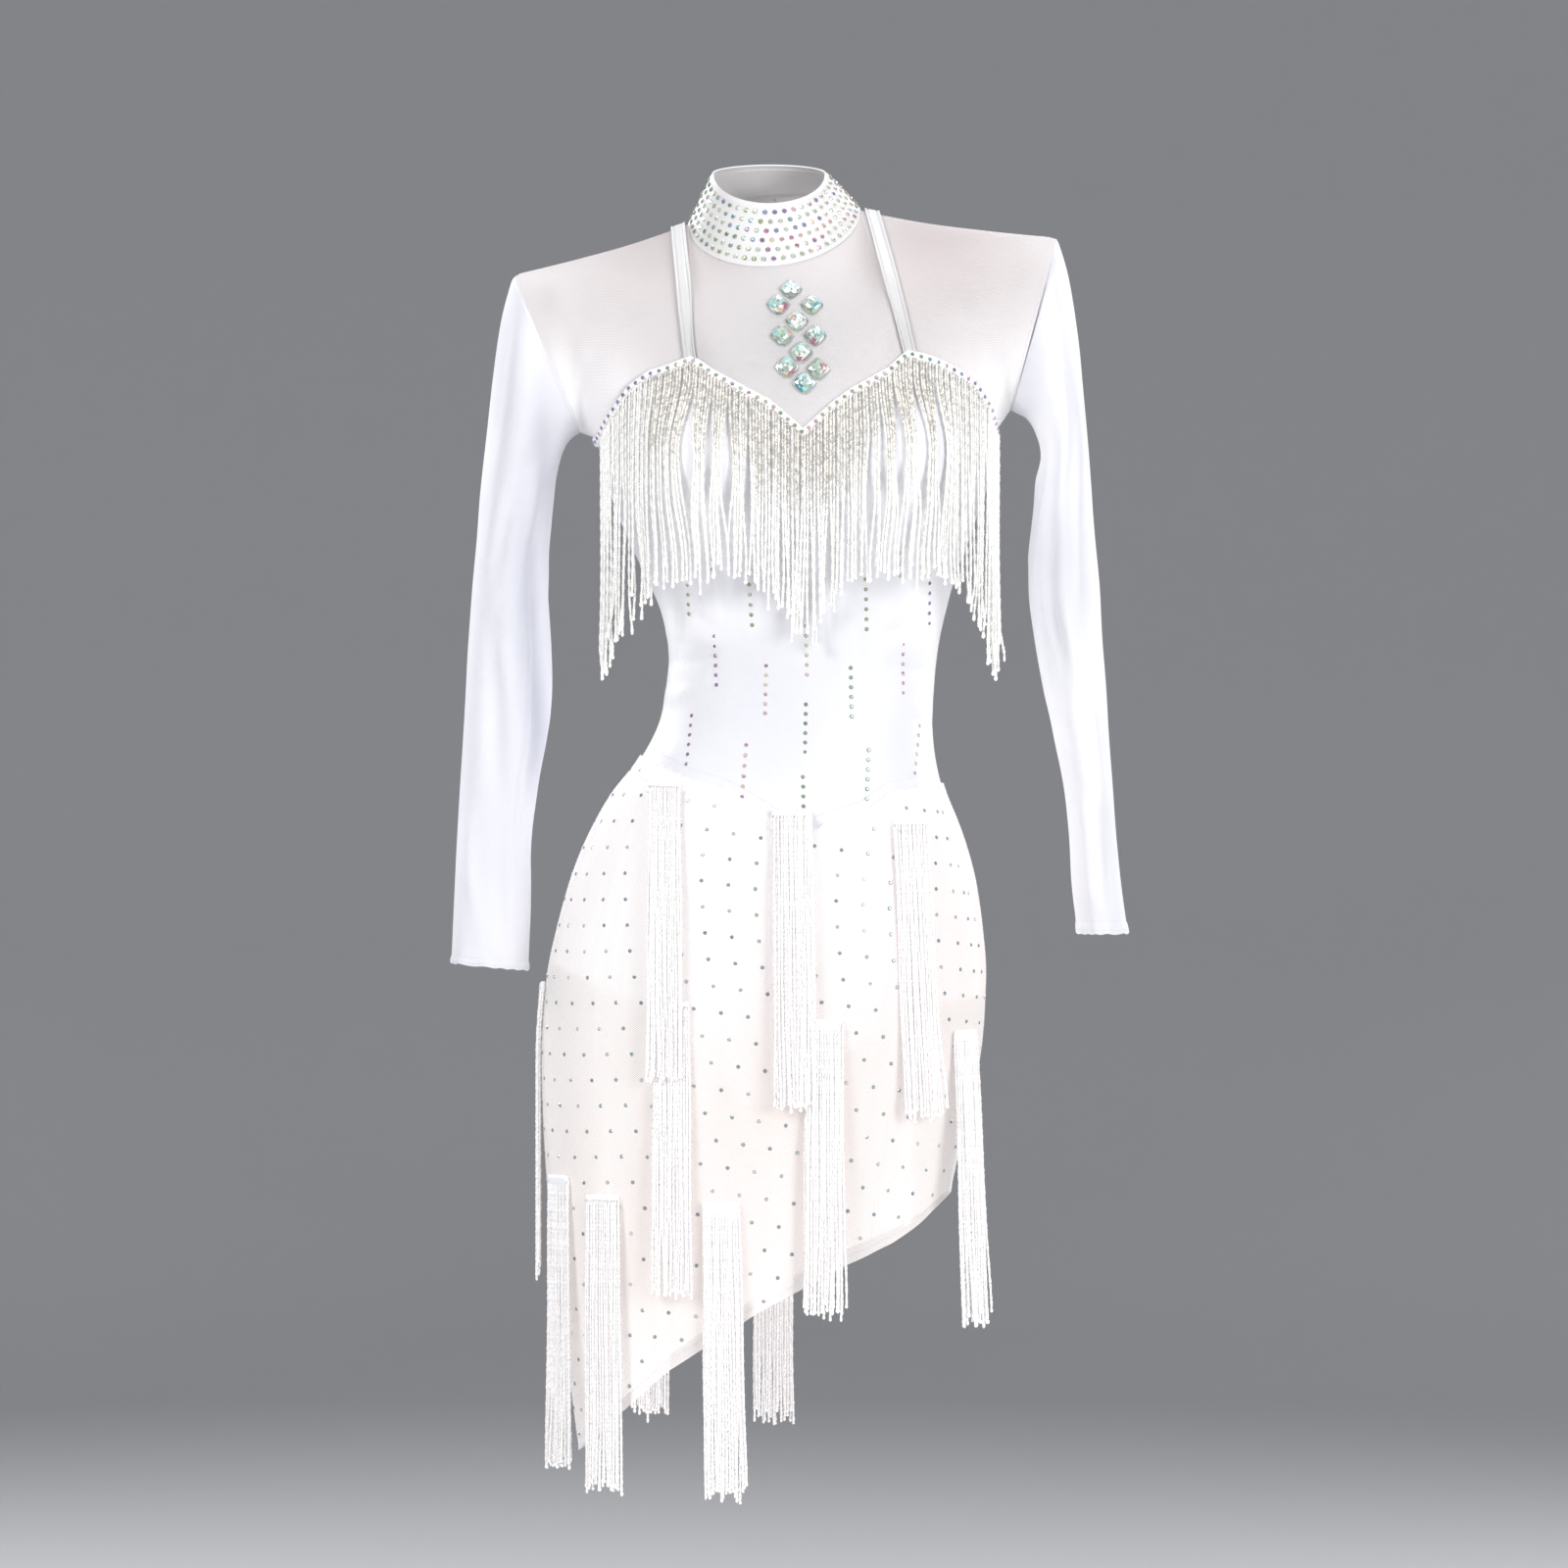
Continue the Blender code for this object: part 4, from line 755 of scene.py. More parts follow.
def makeStoneTree():
    tree, get = newTree("setStones", Height_share=("Float", 0.42), Table_share=("Float", 0.56),
                        Sides=("Int", 8), Seed=("Int", 5))
    points = put(tree, "GeometryNodeMeshToPoints", (0, get["Geometry"]))[0]
    high = maths(tree, "MULTIPLY", get["Height share"], 0.5)
    table = maths(tree, "MULTIPLY", get["Table share"], 0.5)
    stone = put(tree, "GeometryNodeMeshCone", ("Vertices", get["Sides"]), ("Radius Top", table),
                ("Radius Bottom", 0.5), ("Depth", high))[0]
    facing = put(tree, "GeometryNodeInputNamedAttribute", ("Name", "facing"),
                 data_type="FLOAT_VECTOR")[0]
    size = put(tree, "GeometryNodeInputNamedAttribute", ("Name", "size"), data_type="FLOAT")[0]
    spin = put(tree, "FunctionNodeRandomValue", (3, 6.28), ("Seed", get["Seed"]),
               data_type="FLOAT")[1]
    around = put(tree, "FunctionNodeAxisAngleToRotation", ("Axis", (0, 0, 1)), ("Angle", spin))[0]
    both = put(tree, "FunctionNodeRotateRotation", (0, alongZ(tree, facing)), (1, around),
               rotation_space="LOCAL")[0]
    stones = put(tree, "GeometryNodeInstanceOnPoints", ("Points", points), ("Instance", stone),
                 ("Rotation", both), ("Scale", size))[0]
    real = put(tree, "GeometryNodeRealizeInstances", ("Geometry", stones))[0]
    light = put(tree, "FunctionNodeRandomValue", ("Seed", get["Seed"]), data_type="FLOAT")[1]
    cut = put(tree, "GeometryNodeStoreNamedAttribute", ("Geometry", real), ("Name", "facet"),
              ("Value", light), data_type="FLOAT", domain="FACE")[0]
    return ending(tree, cut, get["Material"])


def makeStitchTree():
    tree, get = newTree("runOfStitches", Stitch=("Float", 0.0022), Pitch=("Float", 0.0032),
                        Thread=("Float", 0.0002))
    even = evenPoints(tree, get, get["Pitch"])
    thread = put(tree, "GeometryNodeMeshCylinder", ("Vertices", 4), ("Radius", get["Thread"]),
                 ("Depth", get["Stitch"]))[0]
    tangent = put(tree, "GeometryNodeInputTangent")[0]
    stitches = put(tree, "GeometryNodeInstanceOnPoints", ("Points", even), ("Instance", thread),
                   ("Rotation", alongZ(tree, tangent)))[0]
    return ending(tree, stitches, get["Material"])


def runTree(name, tree, mesh, material, **inputs):
    # the tree's result as a plain mesh, with the modifier gone
    carrier = bpy.data.objects.new(name + "Lines", mesh)
    bpy.context.scene.collection.objects.link(carrier)
    modifier = carrier.modifiers.new("nodes", "NODES")
    modifier.node_group = tree
    inputs["Material"] = material
    for item in tree.interface.items_tree:
        key = item.name.replace(" ", "_")
        if item.in_out == "INPUT" and key in inputs:
            modifier[item.identifier] = inputs[key]
    bpy.context.view_layer.update()
    graph = bpy.context.evaluated_depsgraph_get()
    made = bpy.data.meshes.new_from_object(carrier.evaluated_get(graph))
    carrier.modifiers.clear()
    bpy.data.objects.remove(carrier)
    made.name = name
    obj = addObject(name, made, *([] if made.materials else [material]))
    print(f"{name}: {sum(len(face.vertices) - 2 for face in made.polygons)} triangles")
    return obj


trees = {"strands": makeStrandTree(), "stones": makeStoneTree(), "stitches": makeStitchTree()}
print("trees ready")


# ---- camera, floor and light

view = {"x": 0.0096, "level": -0.46, "away": 6, "half": 0.64}
camera = addObject("camera", bpy.data.cameras.new("camera"))
camera.data.sensor_width = 36
camera.data.lens = 18 * view["away"] / view["half"]
camera.location = (view["x"], -view["away"], view["level"])
camera.rotation_euler = (pi / 2, 0, 0)
bpy.context.scene.camera = camera

room = {
    # a bowl: distance from the middle, height over the floor
    "profile": ((0, 0), (6.4, 0), (7, 0.06), (7.6, 0.28), (8.1, 0.7), (8.4, 1.3), (8.5, 2.2),
                (8.5, 7.5)),
    "floor": -1.5, "sides": 96, "wall": (0.43, 0.43, 0.44), "pale": (0.47, 0.47, 0.475),
}


def makeRoom():
    sides = room["sides"]
    turns = 2 * pi * np.arange(sides) / sides
    verts = [(away * math.cos(turn), away * math.sin(turn), room["floor"] + high)
             for away, high in room["profile"] for turn in turns]
    mesh = bpy.data.meshes.new("studioFloor")
    mesh.from_pydata(verts, [], tubeFaces(len(room["profile"]), sides))
    mesh.shade_smooth()
    material, tree, inputs = newMaterial("studioPaper", Roughness=0.85)
    place = placeOn(tree)
    level = put(tree, "ShaderNodeSeparateXYZ", ("Vector", place))["Z"]
    rise = maths(tree, "ADD", maths(tree, "SUBTRACT", level, room["floor"]),
                 maths(tree, "MULTIPLY", noise(tree, place, 0.6), 0.12))
    tree.links.new(ramp(tree, rise, ((0.05, room["pale"]), (0.9, room["wall"])), "EASE"),
                   inputs["Base Color"])
    return addObject("studioFloor", mesh, material)


makeRoom()

lamps = (
    # name, place, size, watts: each looks at the dress
    ("keyLamp", (-2.6, -3.6, 1.5), 1.6, 132),
    ("fillLamp", (3, -3.4, 0.3), 2.2, 142),
    ("topLamp", (0.3, 0.5, 3), 2, 60),
    ("backLampRight", (-2.8, 3.2, 1.4), 1.6, 110),
    ("backLampLeft", (2.9, 3, 0.9), 1.6, 90),
)
for name, place, size, watts in lamps:
    lamp = addObject(name, bpy.data.lights.new(name, "AREA"))
    lamp.data.size = size
    lamp.data.energy = watts
    lamp.location = place
    toDress = Vector((0, 0, view["level"] + 0.01)) - Vector(place)
    lamp.rotation_euler = toDress.to_track_quat("-Z", "Y").to_euler()
    lamp.visible_camera = False
world = bpy.data.worlds.new("studioWorld")
world.use_nodes = True
world.node_tree.nodes["Background"].inputs["Color"].default_value = (0.9, 0.93, 1, 1)
world.node_tree.nodes["Background"].inputs["Strength"].default_value = 0.55
bpy.context.scene.world = world
bpy.context.scene.view_settings.view_transform = "Standard"
print("studio ready")


# ---- the cloth pieces

def dressed(piece, slot, *nodes):
    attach(piece, "root")
    if nodes:
        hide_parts(*nodes)


def sewn(name, grid, inside, thick, finish, relief, slot, nodes,
         loop=False):
    piece = clothShell(name, grid, inside, thick, finishes[finish], relief, loop)
    dressed(piece, slot, *nodes)


def splitTurns(corners, count):    # even columns with one exactly at each corner
    corners = sorted(corners)
    turns = []
    for first, last in zip(corners, corners[1:]):
        share = max(round(count * (last - first) / (corners[-1] - corners[0])), 2)
        turns += list(np.linspace(first, last, share, endpoint=False))
    return np.array(turns + [corners[-1]])


peaks = [turn for _, turn in yokeTurnTable(True)]
frontTurns = splitTurns(peaks, 160)
backTurns = pi - np.linspace(pi / 2, -pi / 2, 130)
seamDip = {"deep": 0.5, "wide": 2.4}


def dip(distance):                 # the valley that a sewn seam pulls into the cloth
    return -seamDip["deep"] * bell(distance / seamDip["wide"])


def bodyGrid(turns, high, low, rows, out=None):
    share = np.linspace(0, 1, rows)[:, None]
    level = high + (low - high) * share
    turn = np.broadcast_to(turns, level.shape)
    lift = out(turn, level, high) if out else 0 * level
    return bodyPoint(turn, level, lift)[0], turn, level, share


def sideDistance(turn):            # rough distance from the nearer side seam
    return np.minimum(np.abs(turn - pi / 2), np.minimum(
        np.abs(turn + pi / 2), np.abs(turn - 1.5 * pi))) * 100


bodice = {
    "thick": 0.8, "rowsFront": 94, "rowsBack": 78,
    # soft pulls in the stretched cloth: x, level at both ends, half width, height
    "frontFolds": (
        (-88, -318, -40, -334, 5, -0.8), (-86, -338, -34, -346, 5, 0.7),
        (-86, -362, -44, -356, 5, -0.8), (-92, -392, -50, -376, 6, 0.7),
        (136, -322, 92, -336, 5, -0.7), (132, -344, 88, -350, 5, 0.7),
        (130, -372, 92, -362, 5, -0.8), (131, -404, 96, -384, 6, 0.6),
        (-24, -262, 22, -250, 7, -0.6), (60, -262, 24, -252, 7, -0.6),
        (-10, -430, 40, -438, 7, 0.5), (-60, -430, -24, -446, 6, -0.5)),
    "backFolds": (
        (-86, -322, -26, -342, 6, -0.7), (-84, -350, -36, -357, 5, 0.5),
        (-87, -380, -20, -370, 6, -0.6), (135, -328, 84, -347, 5, -0.6),
        (132, -356, 70, -361, 6, 0.5), (131, -388, 78, -375, 5, -0.6),
        (10, -230, 22, -300, 9, -0.8), (20, -390, 16, -460, 9, -0.8),
        (-70, -222, -50, -270, 8, 0.6), (110, -222, 92, -270, 8, 0.6)),
}


def makeBodice():
    for name, turns, top, foot, rows, folds, node, flat, area in (
            ("bodiceFront", frontTurns, "neckline", "skirtSeam", "rowsFront", "frontFolds",
             "bodice_front", (0.40, 0.40), 0.110),
            ("bodiceBack", backTurns, "backEdge", "backSeam", "rowsBack", "backFolds",
             "bodice_back", (0.36, 0.32), 0.080)):
        high, low = edgeLevel(turns, top), edgeLevel(turns, foot)
        grid, turn, level, _ = bodyGrid(turns, high, low, bodice[rows])
        x = grid[..., 0]
        relief = creases(x, level, bodice[folds]) + 0.25 * ripple(x, level, 4)
        relief = relief * smooth((level - low) / 14)
        relief = relief + dip(sideDistance(turn)) + dip(level - high)
        sewn(name, grid, (20, 0, -300), bodice["thick"], "lycra", relief, "lycra", [node])


brief = {"thick": 0.8, "rows": 36, "ease": 1, "tuckLevel": -600, "tuckTall": 110,
         "tuckShare": 0.4, "band": 7, "bandHigh": 0.7, "crotch": (-3, -700),
         "gussetHalf": 34, "gussetNarrows": 9, "gussetDrop": 21.5}


def tucked(points):                # drawn in towards the crotch below the hips
    share = smooth((brief["tuckLevel"] - points[..., 2]) / brief["tuckTall"])
    points = points.copy()
    points[..., 1] *= 1 - brief["tuckShare"] * share
    return points


def makeBrief():
    for name, turns, seam, node, flat, area in (
            ("briefFront", frontTurns, "skirtSeam", "brief_front", (0.46, 0.26), 0.072),
            ("briefBack", backTurns, "backSeam", "brief_back", (0.50, 0.27), 0.080)):
        high, low = edgeLevel(turns, seam), edgeLevel(turns, "legLine")
        _, turn, level, share = bodyGrid(turns, high, low, brief["rows"])
        grid = tucked(bodyPoint(turn, level, -brief["ease"] * smooth(share * 3))[0])
        elastic = brief["bandHigh"] * smooth((brief["band"] - (level - low)) / 1.6)
        gathers = 0.35 * np.sin(turn * 95) * bell((level - low - 11) / 7)
        relief = elastic + gathers + dip(sideDistance(turn))
        sewn(name, grid, (0, 0, -560), brief["thick"], "brief", relief, "lycra", [node])
    makeGusset()


def makeGusset():
    middle, level = brief["crotch"]
    front, back = [tucked(bodySkin(turnAt(middle, level, ahead), np.array(level)))[1]
                   for ahead in (True, False)]
    share = np.linspace(0, 1, 50)[:, None]
    column = np.linspace(-1, 1, 26)[None, :]
    bow = np.sin(pi * share)
    x = middle + (brief["gussetHalf"] - brief["gussetNarrows"] * bow) * column
    y = front + (back - front) * (0.5 - 0.5 * np.cos(pi * share)) + 0 * column
    z = level - brief["gussetDrop"] * bow + 0 * column
    relief = 0.5 * smooth((np.abs(column) - 0.8) / 0.08)
    sewn("briefGusset", np.stack([x, y, z], -1), (0, 0, -600), brief["thick"], "brief", relief,
         "lycra", ["brief_gusset"])


skirt = {
    "thick": 0.6, "rows": 114, "columns": 170, "layer": 1.5, "lift": 0.5, "ease": 2, "lap": 2.5,
    # turn, half width in degrees, height, level where it starts
    "folds": (
        (12, 9, 3, -500), (31, 8, 4, -480), (52, 9, 2.5, -470),
        (-22, 10, 2.5, -520), (-52, 11, 2, -620), (150, 10, 3.5, -490),
        (118, 9, 2.5, -480), (-160, 10, 3, -520), (-125, 11, 2, -600)),
    # the drapes beside them: x, level at both ends, half width, height
    "frontDrapes": (
        (-66, -462, -46, -500, 4.5, 1.3), (-52, -466, -34, -512, 4, -1.3),
        (-40, -474, -24, -520, 4.5, 1.1), (6, -498, 2, -548, 4.5, -1.1),
        (30, -508, 30, -590, 5, 1.2), (42, -500, 52, -640, 5.5, -1.6),
        (64, -494, 70, -690, 6, 1.2), (84, -484, 88, -620, 5, -1.4),
        (98, -478, 112, -560, 5, 1.2), (120, -470, 140, -540, 5, -1),
        (-110, -470, -128, -560, 6, 0.8), (-96, -640, -104, -860, 8, -1.3),
        (-58, -660, -62, -880, 8, 1.2), (-20, -640, -16, -860, 8, -1.2),
        (30, -700, 34, -850, 8, 1.2), (74, -680, 72, -820, 7, -1.2),
        (112, -640, 106, -790, 7, 1), (-136, -700, -136, -950, 8, 1.2)),
    "backDrapes": (
        (-70, -470, -56, -560, 6, 1.2), (-40, -474, -30, -600, 6, -1.3),
        (0, -486, 4, -640, 7, 1.3), (40, -486, 40, -620, 6, -1.2),
        (80, -478, 92, -580, 6, 1.2), (112, -470, 126, -560, 6, -1),
        (-110, -660, -112, -900, 8, 1.2), (-70, -660, -72, -890, 8, -1.3),
        (-24, -680, -24, -870, 8, 1.3), (24, -680, 26, -850, 8, -1.3),
        (66, -670, 66, -830, 8, 1.2), (106, -640, 102, -790, 7, -1)),
    "hemHigh": 0.45, "hemWide": 2.6, "gathers": 61, "gatherHigh": 0.45, "gatherTall": 16,
    "scallop": 0.7, "easeTall": 30, "foldTall": 160,
}


def skirtOut(turn, level, seam):
    out = skirt["layer"] + skirt["lift"] + skirt["ease"] * smooth(
        (seam - level) / skirt["easeTall"])
    for place, wide, high, start in skirt["folds"]:
        aside = (turn - math.radians(place) + pi) % (2 * pi) - pi
        out = out + high * bell(aside / math.radians(wide)) * smooth(
            (start - level) / skirt["foldTall"])
    return out


def skirtTop(turns, front):
    return edgeLevel(turns, "skirtSeam" if front else "backSeam") + skirt["lap"]


def hemLevel(turns):
    return edgeLevel(turns, "hem")


def skirtRelief(grid, turn, level, top, low, front):
    x = grid[..., 0]
    relief = creases(x, level, skirt["frontDrapes" if front else "backDrapes"])
    relief = relief + 0.35 * ripple(x, level * 0.5, 8 if front else 9)
    gathers = np.sin(turn * skirt["gathers"] + 2 * np.sin(turn * 9))
    relief = relief + skirt["gatherHigh"] * (gathers * bell((top - level) / skirt["gatherTall"]))
    hem = skirt["hemHigh"] * np.exp(-((level - low - skirt["hemWide"] / 2)
                                      / skirt["hemWide"]) ** 4)
    return relief * smooth((level - low) / 20) + hem + dip(sideDistance(turn))


def makeSkirt():
    for name, front, node, flat, area in (
            ("skirtFront", True, "skirt_front", (0.50, 0.57), 0.200),
            ("skirtBack", False, "skirt_back", (0.52, 0.57), 0.210)):
        first = -pi / 2 if front else pi / 2
        turns = np.linspace(first, first + pi, skirt["columns"])
        high = skirtTop(turns, front) + skirt["scallop"] * np.sin(turns * skirt["gathers"])
        low = hemLevel(turns)
        grid, turn, level, _ = bodyGrid(turns, high, low, skirt["rows"], skirtOut)
        relief = skirtRelief(grid, turn, level, high, low, front)
        sewn(name, grid, (0, 0, -700), skirt["thick"], "skirtMesh", relief, "skirt_mesh", [node])


def yokeFolds(across, rise, front):
    # pulls from the armpits and the shoulder tips: across, rise at both ends, half width, height
    table = (
        (-0.97, 0.12, -0.62, 0.34, 0.035, -1.2), (-0.97, 0.2, -0.66, 0.46, 0.035, 1.1),
        (0.97, 0.12, 0.66, 0.32, 0.035, -1.2), (0.97, 0.22, 0.7, 0.46, 0.035, 1.1),
        (-0.94, 0.8, -0.62, 0.62, 0.04, -0.7), (0.94, 0.8, 0.64, 0.6, 0.04, -0.7),
        (-0.3, 0.06, -0.12, 0.3, 0.03, 0.5), (0.32, 0.06, 0.14, 0.3, 0.03, 0.5))
    return creases(across, rise, table) * (1 if front else 1.15)


def makeYoke():
    half = splitTurns([yoke["neck"], 1], yoke["columns"] // 2)
    inner = np.linspace(0, yoke["neck"], yoke["columns"] // 2, endpoint=False)
    side = np.concatenate([inner, half])
    rises = np.concatenate([[0], 0.5 - 0.5 * np.cos(pi * np.linspace(0, 1, yoke["rows"]))])
    back = np.concatenate([[yoke["slit"]], side[1:]])
    for name, front, columns, node, flat, area in (
            ("yokeFront", True, np.concatenate([-side[:0:-1], side]), "yoke_front",
             (0.50, 0.20), 0.066),
            ("yokeBackRight", False, -back[::-1], "yoke_back_right", (0.25, 0.24), 0.046),
            ("yokeBackLeft", False, back, "yoke_back_left", (0.25, 0.24), 0.048)):
        across, rise = np.broadcast_arrays(columns, rises[:, None])
        grid = yokeSkin(across, rise, front)
        grid[0] = yokeEdge(across[0], front)
        blend = smooth((0.97 - np.abs(across)) / 0.05) * smooth(rise / 0.05)
        relief = yokeFolds(across, rise, front) * blend * smooth((0.98 - rise) / 0.06)
        shoulder = smooth((np.abs(across) - yoke["neck"]) / 0.05)
        relief = relief + dip((1 - rise) * 120) * shoulder + dip((1 - np.abs(across)) * 150)
        if not front:
            relief = relief + 0.4 * bell((np.abs(across) - 0.012) / 0.01)
        sewn(name, grid, (20, 0, -90), yoke["thick"], "yokeMesh", relief, "sheer_mesh", [node])


sleeveFolds = {
    # degrees round the sleeve (0 outer, 90 back), level at both ends, half width, height
    "right": (
        (250, -180, 292, -300, 14, -2.2), (228, -190, 268, -330, 12, 2),
        (206, -200, 236, -300, 11, -1.8), (300, -330, 262, -470, 14, -2),
        (280, -350, 244, -480, 11, 1.8), (330, -90, 318, -260, 15, -1.6),
        (232, -360, 214, -430, 10, -1.8), (314, -480, 286, -590, 12, 1.3),
        (258, -500, 250, -596, 11, -1.5), (120, -200, 86, -330, 13, -2),
        (100, -180, 62, -300, 13, 1.8), (66, -360, 96, -480, 13, -2),
        (130, -400, 112, -520, 12, 1.6), (30, -300, 46, -470, 13, 1.4),
        (178, -210, 178, -300, 12, 1.5), (172, -420, 186, -560, 12, -1.4),
        (244, -230, 241, -575, 8, 1.8), (227, -300, 226, -480, 8, -2.2)),
    "left": (
        (290, -160, 250, -300, 14, -2.2), (312, -150, 274, -330, 12, 2),
        (226, -180, 214, -280, 11, 1.8), (250, -320, 286, -460, 14, -2.1),
        (270, -330, 304, -470, 12, 1.8), (326, -70, 336, -250, 15, -1.6),
        (222, -340, 240, -430, 10, -1.8), (240, -470, 262, -570, 12, 1.4),
        (296, -480, 300, -570, 11, -1.4), (70, -180, 108, -320, 13, -2),
        (94, -160, 128, -290, 13, 1.8), (122, -340, 84, -470, 13, -2),
        (60, -400, 74, -520, 12, 1.6), (20, -280, 34, -450, 13, 1.3),
        (180, -200, 178, -290, 12, 1.5), (176, -400, 186, -540, 12, -1.4),
        (262, -180, 266, -430, 8, 1.8), (243, -230, 240, -420, 9, -2.2)),
    "cuff": 9, "cuffHigh": 0.7, "deeper": 1.25, "long": 560, "ruffle": 0.7, "ruffles": 13,
    "ruffleDrop": 0.8,
}


def sleeveGrid(side):
    table = sleeves[side]
    # rows stand on a smooth curve through the table, by their number down the arm
    keyed = tuple((float(at), *row) for at, row in enumerate(table))
    share = np.linspace(0, len(table) - 1, sleeves["rows"])
    outerX, outerZ, innerX, innerZ, girth = np.moveaxis(readCurve(keyed, share), -1, 0)
    half = np.stack([outerX - innerX, 0 * outerX, outerZ - innerZ], -1) / 2
    middle = np.stack([outerX + innerX, 0 * outerX, outerZ + innerZ], -1) / 2
    deep = np.sqrt(np.maximum(2 * (girth / (2 * pi)) ** 2 - np.sum(half * half, -1), 100))
    turn = np.linspace(0, 2 * pi, sleeves["sides"], endpoint=False)
    grid = middle[:, None] + half[:, None] * np.cos(turn)[None, :, None]
    grid[..., 1] += deep[:, None] * np.sin(turn)[None, :]
    return grid, middle, turn


def makeSleeves():
    for side, node, flat, area in (("right", "sleeve_right", (0.39, 0.56), 0.130),
                                   ("left", "sleeve_left", (0.39, 0.57), 0.135)):
        grid, middle, turn = sleeveGrid(side)
        degrees = np.degrees(turn)[None, :] + 0 * grid[..., 2]
        around = np.radians(degrees)
        relief = sum(creases(degrees + shift, middle[:, 2:3] + 0 * degrees, sleeveFolds[side])
                     * sleeveFolds["deeper"] for shift in (-360, 0, 360))
        relief = relief + 0.5 * ripple(60 * np.sin(around), grid[..., 2], 12)
        rows = np.linspace(0, 1, len(grid))[:, None]
        down, up = rows * sleeveFolds["long"], (1 - rows) * sleeveFolds["long"]
        fade = smooth((down - 6) / 40) * smooth((1 - rows) / 0.06)
        relief = relief * fade + dip(down)
        relief = relief + sleeveFolds["cuffHigh"] * smooth((sleeveFolds["cuff"] - up) / 1.5)
        ruffle = np.sin(around * sleeveFolds["ruffles"] + 2 * np.sin(around * 3))
        ruffle = sleeveFolds["ruffle"] * ruffle * smooth((rows - 0.975) / 0.025)
        relief = relief + dip((degrees - 180) * 0.55) + ruffle
        grid[..., 2] += sleeveFolds["ruffleDrop"] * ruffle
        sewn("sleeve" + side.capitalize(), grid, middle[:, None], sleeves["thick"], "sleeveMesh",
             relief, "sheer_mesh", [node], loop=True)


collar = {"rows": 40, "sides": 160, "thick": 1.3, "rim": 0.12, "foot": 0.09, "high": 0.35}


def collarPoint(turn, share, out=0):
    foot, rim = neckRing(turn, "foot"), neckRing(turn, "rim")
    _, _, wide, front, _, _, _, _, _ = neck["foot"]
    point = foot + (rim - foot) * np.asarray(share)[..., None]
    aside = np.stack([np.cos(turn) * wide, np.sin(turn) * front, 0 * turn], -1)
    normal = unit(np.cross(aside, unit(rim - foot)))
    return point + normal * np.asarray(out)[..., None], normal


def makeCollar():
    turn = np.linspace(0, 2 * pi, collar["sides"], endpoint=False)
    turns, shares = np.broadcast_arrays(turn, np.linspace(0, 1, collar["rows"])[:, None])
    band = smooth((shares - 1 + collar["rim"]) / 0.015)
    band = band + smooth((collar["foot"] - shares) / 0.015)
    relief = collar["high"] * band + 0.5 * np.sin(pi * shares)
    relief = relief + 0.15 * ripple(turns * 60, shares * 50, 3)
    sewn("collarBand", collarPoint(turns, shares)[0], (0, 0, 10), collar["thick"], "band", relief,
         "collar_cloth", ["collar"], loop=True)


strap = {"wide": 11.6, "out": 2.6, "lean": 0.03, "thick": 1, "piping": 0.4, "groove": 0.8,
         "steps": 60}


def strapPoint(side, rise, front, share, out):
    middle = side * (yoke["neck"] + strap["lean"] * rise)
    inside = np.clip(rise, step, 1 - step)
    along = unit(yokeSkin(middle, inside + step, front) - yokeSkin(middle, inside - step, front))
    beside = middle + side * step * np.where(share < 0, -1, 1)
    aside = yokeSkin(beside, rise, front) - yokeSkin(middle, rise, front)
    stretch = np.linalg.norm(np.cross(aside, along), axis=-1) / step
    return yokePoint(middle + side * strap["wide"] / 2 / stretch * share, rise, front, out)


def makeStraps():
    steps = strap["steps"]
    rise = np.concatenate([np.linspace(0, 1, steps), np.linspace(1, 0, steps)[1:]])
    share = np.linspace(-1, 1, 25)
    edge = np.abs(share)[None, :]
    relief = strap["piping"] * bell((edge - 0.88) / 0.1)
    relief = relief - strap["groove"] * bell((edge - 0.64) / 0.09)
    for name, side, node, length, area in (("strapRight", -1, "strap_right", 0.38, 0.0045),
                                           ("strapLeft", 1, "strap_left", 0.4, 0.0047)):
        grid = np.array([strapPoint(side, one, at < steps, share, strap["out"])[0]
                         for at, one in enumerate(rise)])
        sewn(name, grid, (20, 0, -90), strap["thick"], "band", relief, "strap_band", [node])


makeBodice()
makeBrief()
makeSkirt()
makeYoke()
makeSleeves()
makeCollar()
makeStraps()
print("cloth ready")


# ---- the fringe along the bust

def bodyDepth(x, level, out, front):    # how far the body and a layer on it reach forward or back
    middle, half, ahead, behind = bodyRows(level)
    aside = np.abs(x - middle) / (half + out)
    bow = np.clip(1 - aside ** roundness, 0, 1) ** (1 / roundness)
    if front:
        deep = (ahead + out) * bow + cup(x, middle, level)
    else:
        deep = (behind + out) * bow
    return np.where(aside < 1, deep, -500)


def bodyReach(y, level, out, side):     # how far it reaches sideways at this depth
    middle, half, ahead, behind = bodyRows(level)
    deep = np.where(y < 0, ahead, behind) + out
    bow = np.clip(1 - (np.abs(y) / deep) ** roundness, 0, 1) ** (1 / roundness)
    return side * middle + (half + out) * bow


def strandRows(roots, bottoms, steps):   # shares of each strand's length, and their levels
    share = np.linspace(0, 1, steps)[None, :]
    return share, roots[:, 2:3] + (bottoms[:, None] - roots[:, 2:3]) * share


